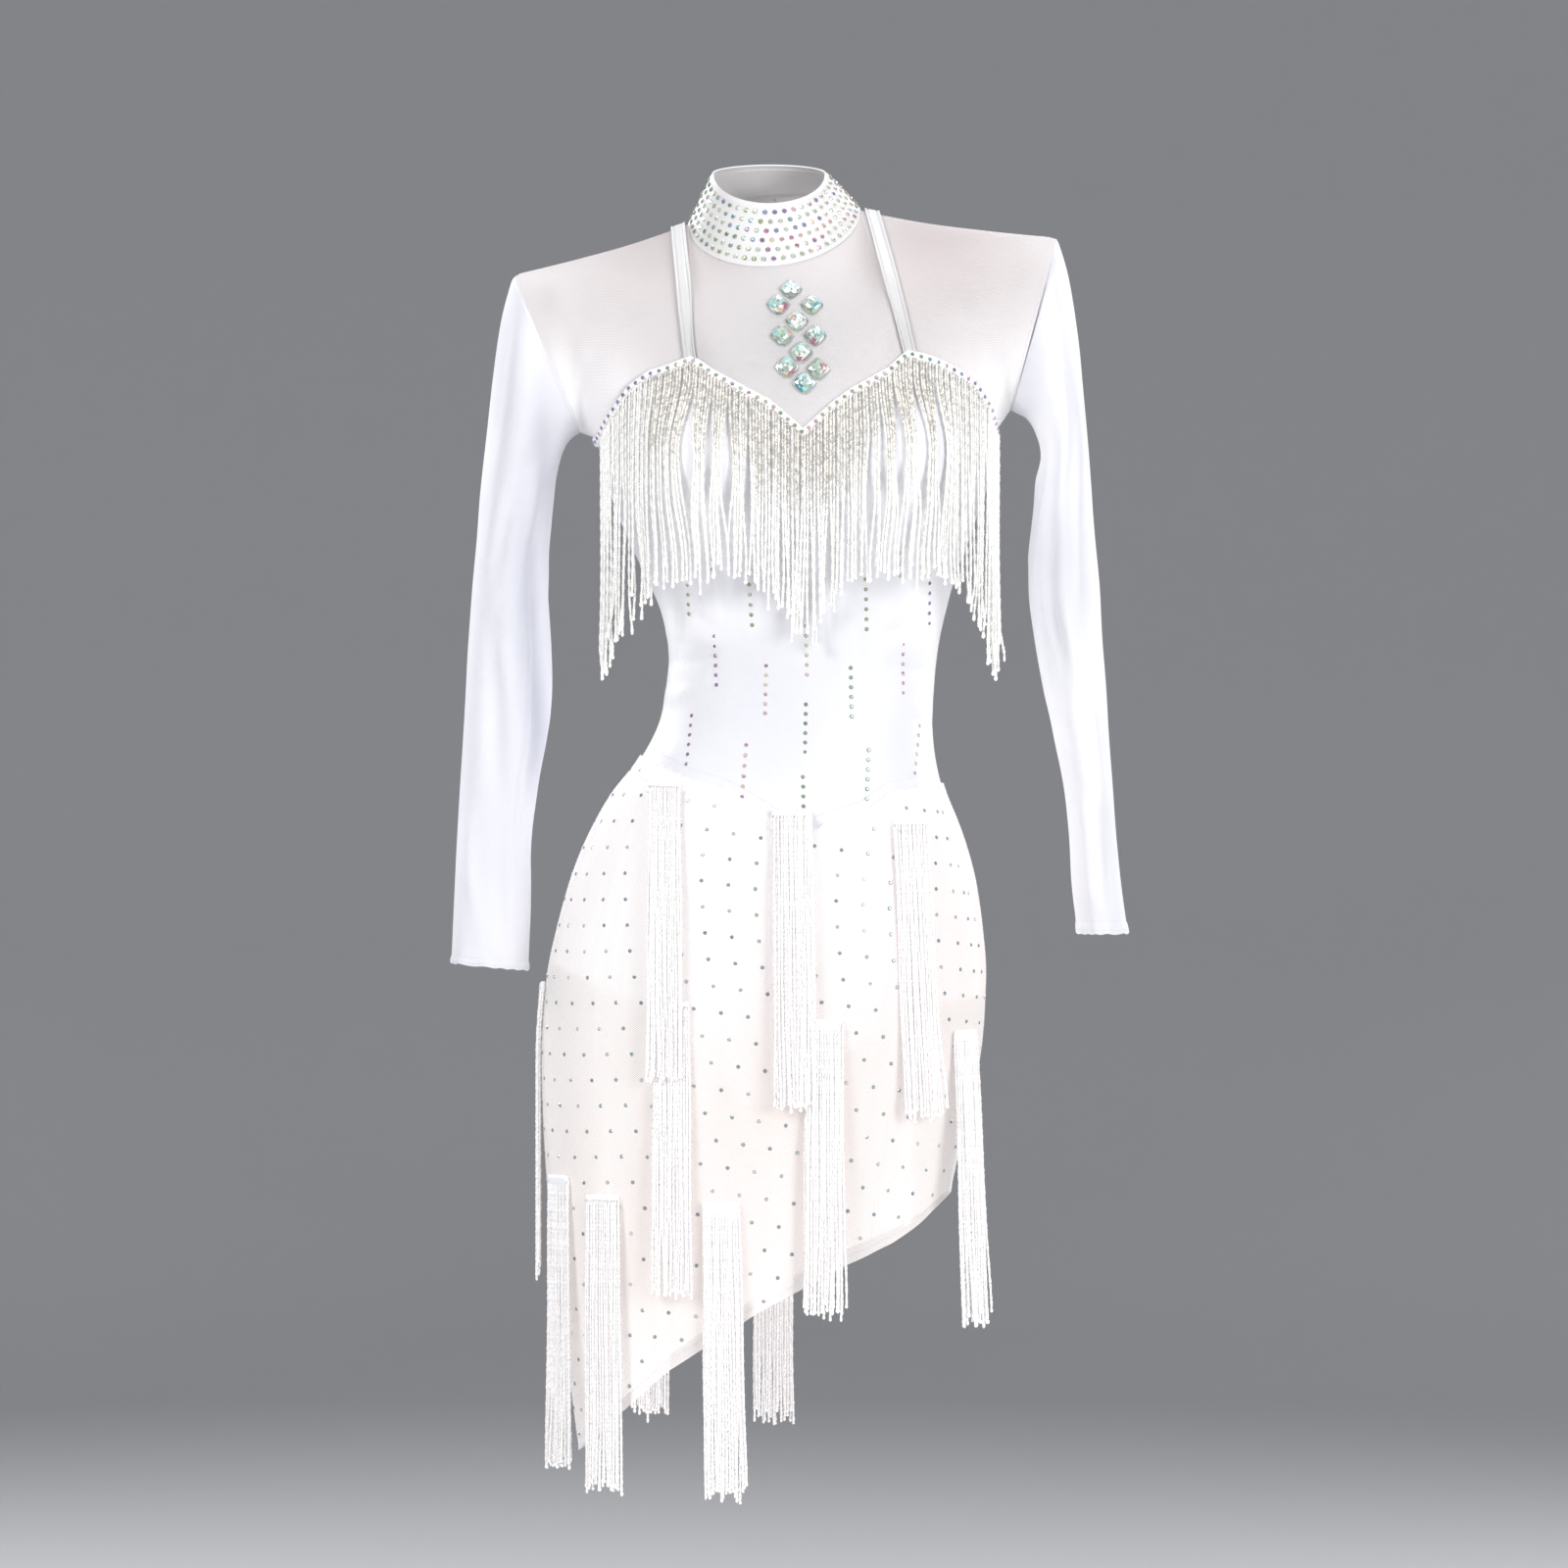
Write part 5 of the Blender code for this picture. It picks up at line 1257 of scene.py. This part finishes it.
def hangLines(roots, bottoms, clear, steps, aside, way, lift=0):
    # strands from their roots straight down, pushed out only where the cloth below is wider
    share, level = strandRows(roots, bottoms, steps)
    lines = np.empty((*level.shape, 3))
    lines[..., 2] = level
    if way in ("front", "back"):
        sign, axis = (-1 if way == "front" else 1), 1
        lines[..., 0] = roots[:, 0:1] + aside
        need = bodyDepth(lines[..., 0], level, clear, way == "front")
    else:
        sign, axis = (1 if way == "left" else -1), 0
        lines[..., 1] = roots[:, 1:2] + aside
        need = bodyReach(lines[..., 1], level, clear, sign)
    reach = np.maximum.accumulate(np.maximum(need, sign * roots[:, axis:axis + 1]), axis=1)
    padded = np.concatenate([reach[:, :1], reach, reach[:, -1:]], 1)
    soft = (padded[:, :-2] + 2 * padded[:, 1:-1] + padded[:, 2:]) / 4
    reach = np.maximum(soft, reach - 0.4)
    lines[..., axis] = sign * (reach + lift * smooth(share * 1.8))
    return lines


fringe = {
    "strands": 148, "turns": (math.radians(-71.5), math.radians(86)), "out": 2.4, "clear": 3.3,
    "drop": 5, "steps": 60, "middle": 20, "spread": 0.22, "rootGap": 0.4, "layerGap": 0.9,
    "drift": 1.2,
    # across, level of the strand ends
    "ends": (
        (-141, -380), (-137, -374), (-133, -362), (-129, -350), (-124.5, -336),
        (-119, -338), (-113, -330), (-104, -314),
        (-94, -300), (-70, -296), (-38, -292), (-6, -300), (10, -324),
        (27, -348), (45, -320), (62, -296), (90, -292), (122, -292),
        (150, -298), (158, -314), (166, -326), (172, -336), (176, -360),
        (181, -368), (186, -342)),
    # where the strands part: across, half the gap, level where it starts, level where it is
    # widest, share of it that stays open below
    "gaps": (
        (-98.7, 1.6, -140, -175, 0.3), (-68.5, 6.2, -132, -200, 0.12),
        (-51.7, 3.4, -140, -195, 0.1), (-36, 5, -145, -215, 0.1),
        (-21, 2.8, -180, -225, 0.1), (78, 3.4, -170, -225, 0.25),
        (89.5, 3.2, -140, -205, 0.1), (103.5, 4.2, -128, -195, 0.1),
        (121, 5.2, -130, -190, 0.1), (136, 4.2, -134, -190, 0.15),
        (-128.6, 1.9, -196, -236, 1), (-121, 2.5, -205, -250, 1),
        (-109.5, 2.6, -240, -290, 1), (172.4, 1.6, -180, -225, 1),
        (164.3, 1.6, -196, -240, 1), (154.6, 1.5, -250, -290, 1)),
    "reach": 1.4, "closing": 60,
    # how the cups push the strands outwards: across, half width, push
    "bows": ((-70, 30, -8), (108, 30, 8)), "bowStart": -128, "bowTall": 62,
    # across, level where the glitter at the top fades
    "fade": ((-140, -150), (-110, -162), (-75, -186), (-50, -190),
             (0, -216), (25, -222), (50, -216), (80, -186), (130, -184),
             (170, -158)),
    "fadeTall": 46, "jitter": 5, "wave": 0.7, "width": 0.003, "segment": 0.0022,
    "twist": 1100.0, "knot": 0.0017, "ragged": 1.7,
}


def fringeAcross(x, level):        # how far a strand is swept aside at this level
    push = sum(size * bell((x - middle) / wide) for middle, wide, size in fringe["bows"])
    aside = push * smooth((fringe["bowStart"] - level) / fringe["bowTall"]) * (
        1 - 0.6 * smooth((-225 - level) / 60))
    for middle, half, start, widest, stays in fringe["gaps"]:
        away = x + push - middle
        opening = smooth((start - level) / (start - widest)) * (
            1 - (1 - stays) * smooth((widest - level) / fringe["closing"]))
        aside = aside + half * opening * np.sign(away) * np.exp(
            -np.abs(away) / (half * fringe["reach"]))
    return aside


def fringeRoot(turns, out):
    return bodyPoint(turns, edgeLevel(turns, "neckline") - fringe["drop"], out)[0]


def makeFringe():
    samples = np.linspace(*fringe["turns"], 900)
    lengths = lengthsAlong(fringeRoot(samples, fringe["out"])[:, :2])
    count, spread = fringe["strands"], fringe["spread"]
    random = np.random.default_rng(11)
    place = (np.arange(count) + 0.5 + random.uniform(-spread, spread, count)) / count * lengths[-1]
    turns = np.interp(place, lengths, samples)
    layer = np.arange(count) % 2 + random.uniform(0, 0.6, count)
    roots = fringeRoot(turns, fringe["out"] + fringe["rootGap"] * layer)
    fromMiddle = np.abs(roots[:, 0:1] - fringe["middle"])
    ends = readLine(fringe["ends"], roots[:, 0]) + random.normal(0, fringe["jitter"], count)
    share, level = strandRows(roots, ends, fringe["steps"])
    phase = random.uniform(0, anyPhase, (count, 1))
    drift = random.normal(0, fringe["drift"], (count, 1))
    aside = fringeAcross(roots[:, 0:1], level) + drift * smooth(share * 1.4 - 0.4)
    aside = aside + fringe["wave"] * np.sin(share * 7 + phase) * share
    outer = smooth((fromMiddle - 118) / 14)
    tips = random.normal(0, fringe["ragged"], (count, 1)) * smooth((share - 0.86) / 0.14)
    aside = aside + tips * (0.25 + 0.75 * outer)
    clear = fringe["clear"] + fringe["layerGap"] * layer[:, None]
    lines = hangLines(roots, ends, clear, fringe["steps"], aside, "front")
    fade = readLine(fringe["fade"], roots[:, 0:1])
    uneven = 0.3 * random.normal(0, 1, (count, 1))
    shade = smooth((level - fade) / fringe["fadeTall"] + 0.5 + uneven)
    shade = shade * (1 - 0.5 * smooth((fromMiddle - 105) / 25))
    tint = np.repeat(random.uniform(0, 1, count), fringe["steps"])
    mesh = polylines("bustFringe", lines, tint=tint, shade=shade.ravel())
    piece = runTree("bustFringe", trees["strands"], mesh, finishes["fringe"],
                    Strand_width=fringe["width"], Segment=fringe["segment"],
                    Twist=fringe["twist"], Knot_size=fringe["knot"], Flatness=0.6)
    dressed(piece, "glitter_fringe", "bust_fringe")


necklineBand = {"high": 8, "lift": 0.8, "out": 3.9, "ends": 1.2, "thick": 0.9,
                "turn": math.radians(88.5), "stone": 3.5, "pitch": 7.6}


def bandLevel(turns, share):       # down the band from its upper edge
    return edgeLevel(turns, "neckline") + necklineBand["lift"] - necklineBand["high"] * share


def makeNecklineBand():
    turns = splitTurns([-necklineBand["turn"], *peaks[1:4], necklineBand["turn"]], 220)
    share = np.linspace(0, 1, 9)[:, None]
    level = bandLevel(turns, share)
    turn = np.broadcast_to(turns, level.shape)
    ends = smooth((necklineBand["turn"] - np.abs(turn)) / 0.06)
    rise = (necklineBand["out"] - necklineBand["ends"]) * (0.35 + 0.65 * np.sin(pi * share))
    out = necklineBand["ends"] + rise * ends
    sewn("necklineBand", bodyPoint(turn, level, out)[0], (20, 0, -150), necklineBand["thick"],
         "trim", None, "strap_band", [])


# ---- tassels

tassel = {
    "long": 234, "wide": 29, "head": 9, "puff": 2.2, "ease": 1.9, "jitter": 3.5,
    "strands": 15, "layers": 2, "layer": 1.5, "steps": 30, "width": 0.0026, "segment": 0.0034,
    "twist": 700.0, "knot": 0.0015, "flare": 1.5, "spread": 0.35, "shift": 0.9, "gap": 0.7,
    "drop": 4, "ragged": 1.1, "wave": 0.35,
    # name, across, level of the top, lean at the bottom, lift off the cloth, on the front
    "places": (
        ("front_1", -82.4, -460, 0, 4.5, True), ("front_2", -79.6, -634, 0, 0, True),
        ("front_3", 17.5, -482, 3, 4.5, True), ("front_4", 40.8, -648, 0, 0, True),
        ("front_5", 107, -490, 11, 0, True), ("front_6", 151, -658, 9, 0, True),
        ("front_7", -133.6, -790, 1, 0, True), ("front_8", -41.6, -795, 3, 0, True),
        ("side_1", -183.2, -622, 0, 0, True), ("side_2", -168, -776, 0, 0, True),
        ("back_1", -99, -745, 0, 0, False), ("back_2", 2.4, -753, 0, 0, False),
        ("back_3", 98, -588, 0, 0, False), ("back_4", 40, -500, 0, 0, False),
        ("back_5", -62, -500, 0, 0, False), ("back_6", -128, -590, 0, 0, False)),
}


def hangWay(turn):
    if abs(math.sin(turn)) > 0.97:
        return "left" if math.sin(turn) > 0 else "right"
    return "front" if math.cos(turn) > 0 else "back"


def makeTassel(index):
    name, x, level, lean, lift, front = tassel["places"][index]
    turn = float(turnAt(x, level, front))
    way = hangWay(turn)
    top = float(edgeLevel(turn, "skirtSeam" if front else "backSeam")) + 2
    random = np.random.default_rng(40 + index)
    radius = np.linalg.norm(bodySkin(turn + step, level) - bodySkin(turn, level)) / step
    offsets = np.linspace(-0.5, 0.5, tassel["strands"]) * (tassel["wide"] - 2)
    levels = level - tassel["long"] * np.linspace(0, 1, 7)
    spots = turnAt(x, levels, front)
    folds = float(np.max(skirtOut(spots, levels, top)))
    lines, tints, shades = [], [], []
    for layer in range(tassel["layers"]):
        place = offsets + random.uniform(-tassel["spread"], tassel["spread"], len(offsets))
        place = place + tassel["shift"] * layer
        here = turn + place / radius
        base = skirtOut(here, level, top) + tassel["ease"] + tassel["gap"] + tassel["layer"] * layer
        roots = bodyPoint(here, level - tassel["drop"], base)[0]
        foot = level - tassel["long"] + random.normal(0, tassel["jitter"], len(here))
        share = np.linspace(0, 1, tassel["steps"])[None, :]
        flare = (place / tassel["wide"] * 2 * tassel["flare"])[:, None] * smooth(share * 1.3)
        ragged = random.normal(0, tassel["ragged"], (len(here), 1)) * smooth((share - 0.7) / 0.3)
        wave = tassel["wave"] * np.sin(share * 9 + random.uniform(0, anyPhase, (len(here), 1)))
        sign = 1 if way in ("front", "left") else -1
        aside = sign * (flare + ragged + wave)
        if way in ("front", "back"):
            aside = aside + lean * share
        clear = folds + tassel["ease"] + tassel["gap"] + tassel["layer"] * layer
        made = hangLines(roots, foot, clear, tassel["steps"], aside, way, lift)
        lines += list(made)
        tints += list(np.repeat(random.uniform(0, 1, len(here)), tassel["steps"]))
        # each strand is a little duller at random; on the back tassels more so, painted shade
        # standing in for the shadow behind the dress
        dullAndShade = random.uniform(0, 0.2 if front else 0.45, len(here))
        shades += list(np.repeat(dullAndShade, tassel["steps"]))
    label = "tassel" + name.replace("_", "").capitalize()
    mesh = polylines(label, lines, tint=tints, shade=shades)
    piece = runTree(label, trees["strands"], mesh, finishes["tassel"],
                    Strand_width=tassel["width"], Segment=tassel["segment"],
                    Twist=tassel["twist"], Knot_size=tassel["knot"], Flatness=0.75, Seed=index)
    dressed(piece, "tassel_fringe", "tassel_" + name)
    makeTasselHead(label + "Head", turn, level, radius, top)


def makeTasselHead(name, turn, level, radius, top):
    # a folded tab of cloth that the strands hang out of
    around = np.linspace(0, 2 * pi, 28, endpoint=False)
    across = np.linspace(-0.5, 0.5, 30)[:, None] * tassel["wide"]
    here = turn + across / radius + 0 * around
    tall = tassel["head"] / 2
    ends = np.sqrt(np.clip(1 - (np.abs(across) / tassel["wide"] * 2) ** 6, 0.02, 1))
    wave = 0.12 * np.sin(across * 2.6)
    levels = level - tall + tall * np.sign(np.sin(around)) * np.abs(np.sin(around)) ** 0.6 * (
        0.85 + 0.15 * ends) + 0 * across
    puff = tassel["puff"] * np.sign(np.cos(around)) * np.abs(np.cos(around)) ** 0.7
    base = skirtOut(here, level, top) + tassel["ease"] + 1.4
    grid = bodyPoint(here, levels, base + (puff + wave) * ends)[0]
    rows, columns = grid.shape[:2]
    count = rows * columns
    verts = [*grid.reshape(-1, 3), grid[0].mean(0), grid[-1].mean(0)]
    faces = tubeFaces(rows, columns)
    for first, middle, way in ((0, count, -1), (count - columns, count + 1, 1)):
        faces += [(first + side, first + (side + 1) % columns, middle)[::way]
                  for side in range(columns)]
    dressed(addSolid(name, verts, faces, finishes["trim"]), "tassel_fringe")


# ---- stones

def stonePiece(name, groups, size, finish="stone"):
    # groups: places, the ways that they face, tints
    places, facings, tints = (np.concatenate(part) for part in zip(*groups))
    mesh = bpy.data.meshes.new(name)
    mesh.from_pydata((places * mm).tolist(), [], [])
    setData(mesh, "facing", facings)
    setData(mesh, "size", np.full(len(places), size * mm))
    setData(mesh, "tint", tints)
    dressed(runTree(name, trees["stones"], mesh, finishes[finish]), "crystal")


def evenSpots(line, keys, pitch, offset):    # even steps along a line, by the keys of its points
    lengths = lengthsAlong(line)
    count = round(lengths[-1] / pitch)
    return np.interp((np.arange(count) + offset) / count * lengths[-1], lengths, keys)


collarStones = {"rows": 6, "pitch": 7.9, "size": 4.3, "top": 0.145, "low": 0.115, "out": 1.15,
                "gapAt": 0.05, "gapHalf": 0.13}
bodiceDashes = {
    "count": 6, "size": 3.5, "out": 0.5,
    # x, level at both ends, tint, spread of the tint
    "lines": (
        (-19.2, -291.2, -16, -332, 0.05, 0.15), (75.2, -295.2, 76, -335.2, 0.12, 0.12),
        (127.2, -289.6, 127.2, -329.6, 0.42, 0.2), (-68.8, -284, -67.2, -322.4, 0.05, 0.1),
        (-48, -271.2, -48, -287.2, 0.02, 0.1), (103.2, -273.6, 103.2, -292, 0.9, 0.1),
        (-46.4, -340.8, -44.8, -380, 0.5, 0.16), (-4.8, -364.8, -5.6, -403.2, 0.72, 0.12),
        (27.2, -332.8, 28, -372, 0.75, 0.25), (63.2, -366.4, 64, -405.6, 0.16, 0.1),
        (105.6, -347.2, 105.6, -386.4, 0.68, 0.14), (-64.8, -404.8, -68.8, -444, 0.52, 0.12),
        (-20.8, -428.8, -24, -470.4, 0.7, 0.12), (27.2, -396, 26.4, -434.4, 0.16, 0.12),
        (77.6, -432.8, 76, -472, 0.2, 0.1), (119.2, -412.8, 115.2, -451.2, 0.9, 0.14),
        (24.8, -454.4, 25.6, -493.6, 0.14, 0.12)),
}
skirtStones = {"pitch": 21.4, "drop": 20.6, "shift": 7.5, "slope": 0.15, "size": 3.4, "out": 0.45}


def makeCollarStones():
    random = np.random.default_rng(21)
    rows, low, top = collarStones["rows"], collarStones["low"], collarStones["top"]
    ring = np.linspace(0, 2 * pi, 720)
    groups = []
    for row in range(rows):
        share = low + (1 - low - top) * (row / (rows - 1))
        line = collarPoint(ring, share)[0]
        turns = evenSpots(line, ring, collarStones["pitch"], 0.5 * (row % 2))
        fromBack = np.abs((turns + collarStones["gapAt"]) % (2 * pi) - pi)
        turns = turns[fromBack > collarStones["gapHalf"]]
        tint = 0.13 + 0.62 * smooth(0.5 + 0.9 * np.sin(turns) + 0.3 * np.sin(turns * 5 + row))
        tint = tint + random.normal(0, 0.14, len(turns))
        pale = random.random(len(turns)) < 0.3
        tint = np.where(pale, 0.92 + 0.06 * random.random(len(turns)), tint % 1)
        place = collarPoint(turns, share, collarStones["out"])
        groups.append((*place, tint))
    stonePiece("collarStones", groups, collarStones["size"])


def makeNecklineStones():
    end = necklineBand["turn"] - 0.03
    turns = np.linspace(-end, end, 1200)
    line = bodyPoint(turns, bandLevel(turns, 0.5), necklineBand["out"] + 0.4)[0]
    spots = evenSpots(line, turns, necklineBand["pitch"], 0.5)
    place = bodyPoint(spots, bandLevel(spots, 0.5), necklineBand["out"] + 0.7)
    random = np.random.default_rng(22)
    tint = 0.04 + 0.42 * smooth((np.abs(spots) - 0.3) / 0.7)
    tint = tint + random.normal(0, 0.05, len(spots))
    tint = np.where(random.random(len(spots)) < 0.25, 0.66, tint) % 1
    stonePiece("necklineStones", [(*place, tint)], necklineBand["stone"])


def makeBodiceStones():
    random = np.random.default_rng(23)
    groups = []
    for x0, z0, x1, z1, tint, spread in bodiceDashes["lines"]:
        count = bodiceDashes["count"] if z0 - z1 > 30 else 3
        x, level = np.linspace(x0, x1, count), np.linspace(z0, z1, count)
        place = bodyPoint(turnAt(x, level), level, bodiceDashes["out"])
        groups.append((*place, (tint + spread * random.uniform(-0.5, 0.5, count)) % 1))
    stonePiece("bodiceStones", groups, bodiceDashes["size"])


def makeSkirtStones():
    random = np.random.default_rng(24)
    turns = np.linspace(-pi / 2, 1.5 * pi, 1000)
    for name, front in (("skirtStonesFront", True), ("skirtStonesBack", False)):
        groups = []
        for row in range(-3, 30):
            level = -452 - skirtStones["drop"] * row
            ring = bodySkin(turns, level)
            lengths = lengthsAlong(ring)
            start = (row * skirtStones["shift"]) % skirtStones["pitch"]
            along = np.arange(start, np.interp(pi / 2, turns, lengths), skirtStones["pitch"])
            if not front:      # the rest of the ring, in even steps
                rest = lengths[-1] + start - along[-1]
                count = round(rest / skirtStones["pitch"])
                along = along[-1] + rest / count * np.arange(1, count)
            x = np.interp(along, lengths, ring[:, 0])
            levels = level - skirtStones["slope"] * smooth((x + 160) / 120) * (x + 80)
            spots = turnAt(x, levels, front)
            high, low = skirtTop(spots, front), hemLevel(spots)
            keep = (levels < high - 9) & (levels > low + 7)
            spots, levels, high, low = spots[keep], levels[keep], high[keep], low[keep]
            out = skirtOut(spots, levels, high)
            base = bodyPoint(spots, levels, out)[0]
            relief = skirtRelief(base, spots, levels, high, low, front)
            place = bodyPoint(spots, levels, out + relief + skirtStones["out"])
            groups.append((*place, random.choice((0.1, 0.3, 0.5, 0.7, 0.9), len(spots),
                                                 p=(0.3, 0.3, 0.2, 0.1, 0.1))))
        stonePiece(name, groups, skirtStones["size"], "mist")


crystals = {
    "radius": 9.3, "high": 4.2, "corner": 1.16, "sides": 8,
    # across, level, general tint, coloured glints: direction in degrees, tint
    "places": (
        (15, -61, 0.05, ((50, 0.2), (130, 0.2), (-90, 0.45))),
        (4.8, -74, 0.2, ((-30, 0.7), (-60, 0.6), (80, 0.05))),
        (32, -74, 0.3, ((45, 0.2), (0, 0.2), (-30, 0.9), (100, 0.05))),
        (20, -87.2, 0.05, ((200, 0.7), (160, 0.6), (-20, 0))),
        (8, -99.2, 0.35, ((30, 0.6), (150, 0.2), (-90, 0.45))),
        (34.4, -99.2, 0.1, ((0, 0), (30, 0.2), (180, 0.45), (-90, 0.7))),
        (23.2, -112.8, 0.05, ((120, 0.2), (-100, 0.7), (160, 0.35))),
        (12, -124.8, 0.4, ((-40, 0.7), (-70, 0.6), (100, 0.2))),
        (36.8, -126.4, 0.35, ((0, 0.7), (20, 0.7), (180, 0.45))),
        (25.6, -137.6, 0.2, ((190, 0.9), (230, 0.9), (20, 0), (-60, 0.2)))),
    # rings of the cut, from the girdle to the table: share of the radius, share of the height
    "rings": ((1, 0), (1, 0.2), (0.84, 0.54), (0.62, 0.84), (0.36, 1)), "girdle": 0.5,
}


def cushion(turn, size):            # a square on its corner with rounded corners
    power = crystals["corner"]
    return size / (abs(math.cos(turn)) ** power + abs(math.sin(turn)) ** power) ** (1 / power)


def crystalCut():                   # one stone about its own middle, facing +Z
    sides, verts, faces = crystals["sides"], [], []
    for number, (wide, high) in enumerate(crystals["rings"]):
        for side in range(sides):
            turn = 2 * pi * (side + 0.5 * (number % 2)) / sides
            away = cushion(turn, crystals["radius"] * wide)
            verts.append((away * math.cos(turn), away * math.sin(turn), crystals["high"] * high))
    for number in range(len(crystals["rings"]) - 1):
        low, high = number * sides, (number + 1) * sides
        for side in range(sides):
            after = (side + 1) % sides
            if number % 2:
                faces += [(low + side, low + after, high + after),
                          (low + side, high + after, high + side)]
            else:
                faces += [(low + side, low + after, high + side),
                          (low + after, high + after, high + side)]
    verts.append((0, 0, crystals["high"] * 1.03))
    faces += [(high + side, high + (side + 1) % sides, high + sides) for side in range(sides)]
    return np.array(verts), [*faces, tuple(range(sides))[::-1]]


def makeCrystals():
    random = np.random.default_rng(31)
    cut, faces = crystalCut()
    middles = np.array([cut[list(face)].mean(0) for face in faces])
    around = np.arctan2(middles[:, 1], middles[:, 0])
    off = np.hypot(middles[:, 0], middles[:, 1]) > 2.5
    for index, (x, level, tint, glints) in enumerate(crystals["places"]):
        label = f"{index + 1:02d}"
        _, normal = yokePoint(*yokePlace(x, level), True)
        middle, stand = boxStand("crystal_" + label, normal)
        verts = middle - normal * crystals["high"] / 2 + cut @ stand
        tints = np.where(random.random(len(faces)) < 0.4, tint,
                         random.choice((0.05, 0.2, 0.35, 0.35, 0.45, 0.5, 0.8), len(faces)))
        for way, glint in glints:
            near = (np.cos(around - math.radians(way)) > 0.84) & (random.random(len(faces)) < 0.6)
            tints = np.where(near & off, glint, tints)
        edge = random.choice((crystals["girdle"], 0.35, 0.8), len(faces), p=(0.6, 0.25, 0.15))
        tints = np.where(middles[:, 2] < crystals["high"] * 0.2, edge, tints)
        piece = addSolid("crystalStone" + label, verts, faces, finishes["crystal"])
        piece.data.shade_flat()
        setData(piece.data, "facet", random.uniform(0, 1, len(faces)), "FACE")
        setData(piece.data, "tint", tints, "FACE")
        dressed(piece, "crystal", "crystal_" + label)


# ---- buttons and sewing

buttons = {
    "places": (0.2, 0.5, 0.8), "radius": 4, "high": 2.6, "sides": 32,
    # a covered button's outline: share of the radius, share of the height
    "outline": ((0, 0), (0.5, 0), (0.86, 0.04), (1, 0.2), (0.97, 0.42), (0.8, 0.72),
                (0.5, 0.93), (0.2, 1), (0, 1)),
}


def makeButtons():
    sides = buttons["sides"]
    turns = 2 * pi * np.arange(sides) / sides
    turn = np.array(pi - 5 / neck["foot"][4])
    for number, share in enumerate(buttons["places"], 1):
        middle, stand = boxStand(f"collar_button_{number}", collarPoint(turn, share)[1])
        rings = []
        for away, tall in np.array(buttons["outline"]) * (buttons["radius"], buttons["high"]):
            wide = away + 0.06 * np.sin(turns * 8) * min(away, 1)
            rings.append(np.stack([wide * np.cos(turns), wide * np.sin(turns),
                                   np.full(sides, tall - buttons["high"] / 2)], -1))
        piece = addSolid(f"collarButton{number}", middle + np.concatenate(rings) @ stand,
                         tubeFaces(len(rings), sides), finishes["trim"], 0.00001)
        dressed(piece, "button", f"collar_button_{number}")


# piece: rows and columns of its grid that a line of stitches follows
seams = {
    "bodiceFront": ((-4,), (2, -3)), "bodiceBack": ((3, -4), (2, -3)),
    "briefFront": ((-4,), (2, -3)), "briefBack": ((-4,), (2, -3)), "briefGusset": ((), (2, -3)),
    "skirtFront": ((3, -3), (2, -3)), "skirtBack": ((3, -3), (2, -3)),
    "yokeFront": ((3, -5), (1, -2)), "yokeBackRight": ((3, -5), (1, -2)),
    "yokeBackLeft": ((3, -5), (1, -2)), "sleeveRight": ((2, -2, -4), ()),
    "sleeveLeft": ((2, -2, -4), ()), "collarBand": ((3, -4), ()),
    "strapRight": ((), (4, -5)), "strapLeft": ((), (4, -5)), "necklineBand": ((1, -2), ()),
}


threadLift = 0.12


def makeStitches():
    for name, (rows, columns) in seams.items():
        outer, normals, loop = outers[name]
        surface = outer + threadLift * normals
        lines = [surface[row] for row in rows] + [surface[:, column] for column in columns]
        if loop:
            lines = [np.concatenate([line, line[:1]]) for line in lines]
        mesh = polylines(name + "Stitches", lines)
        dressed(runTree(name + "Stitches", trees["stitches"], mesh, finishes["thread"]), "lycra")


makeNecklineBand()
makeFringe()
for index in range(len(tassel["places"])):
    makeTassel(index)
makeCollarStones()
makeNecklineStones()
makeBodiceStones()
makeSkirtStones()
makeCrystals()
print("fringe, tassels and stones ready")
makeButtons()
makeStitches()
print("buttons and sewing ready")
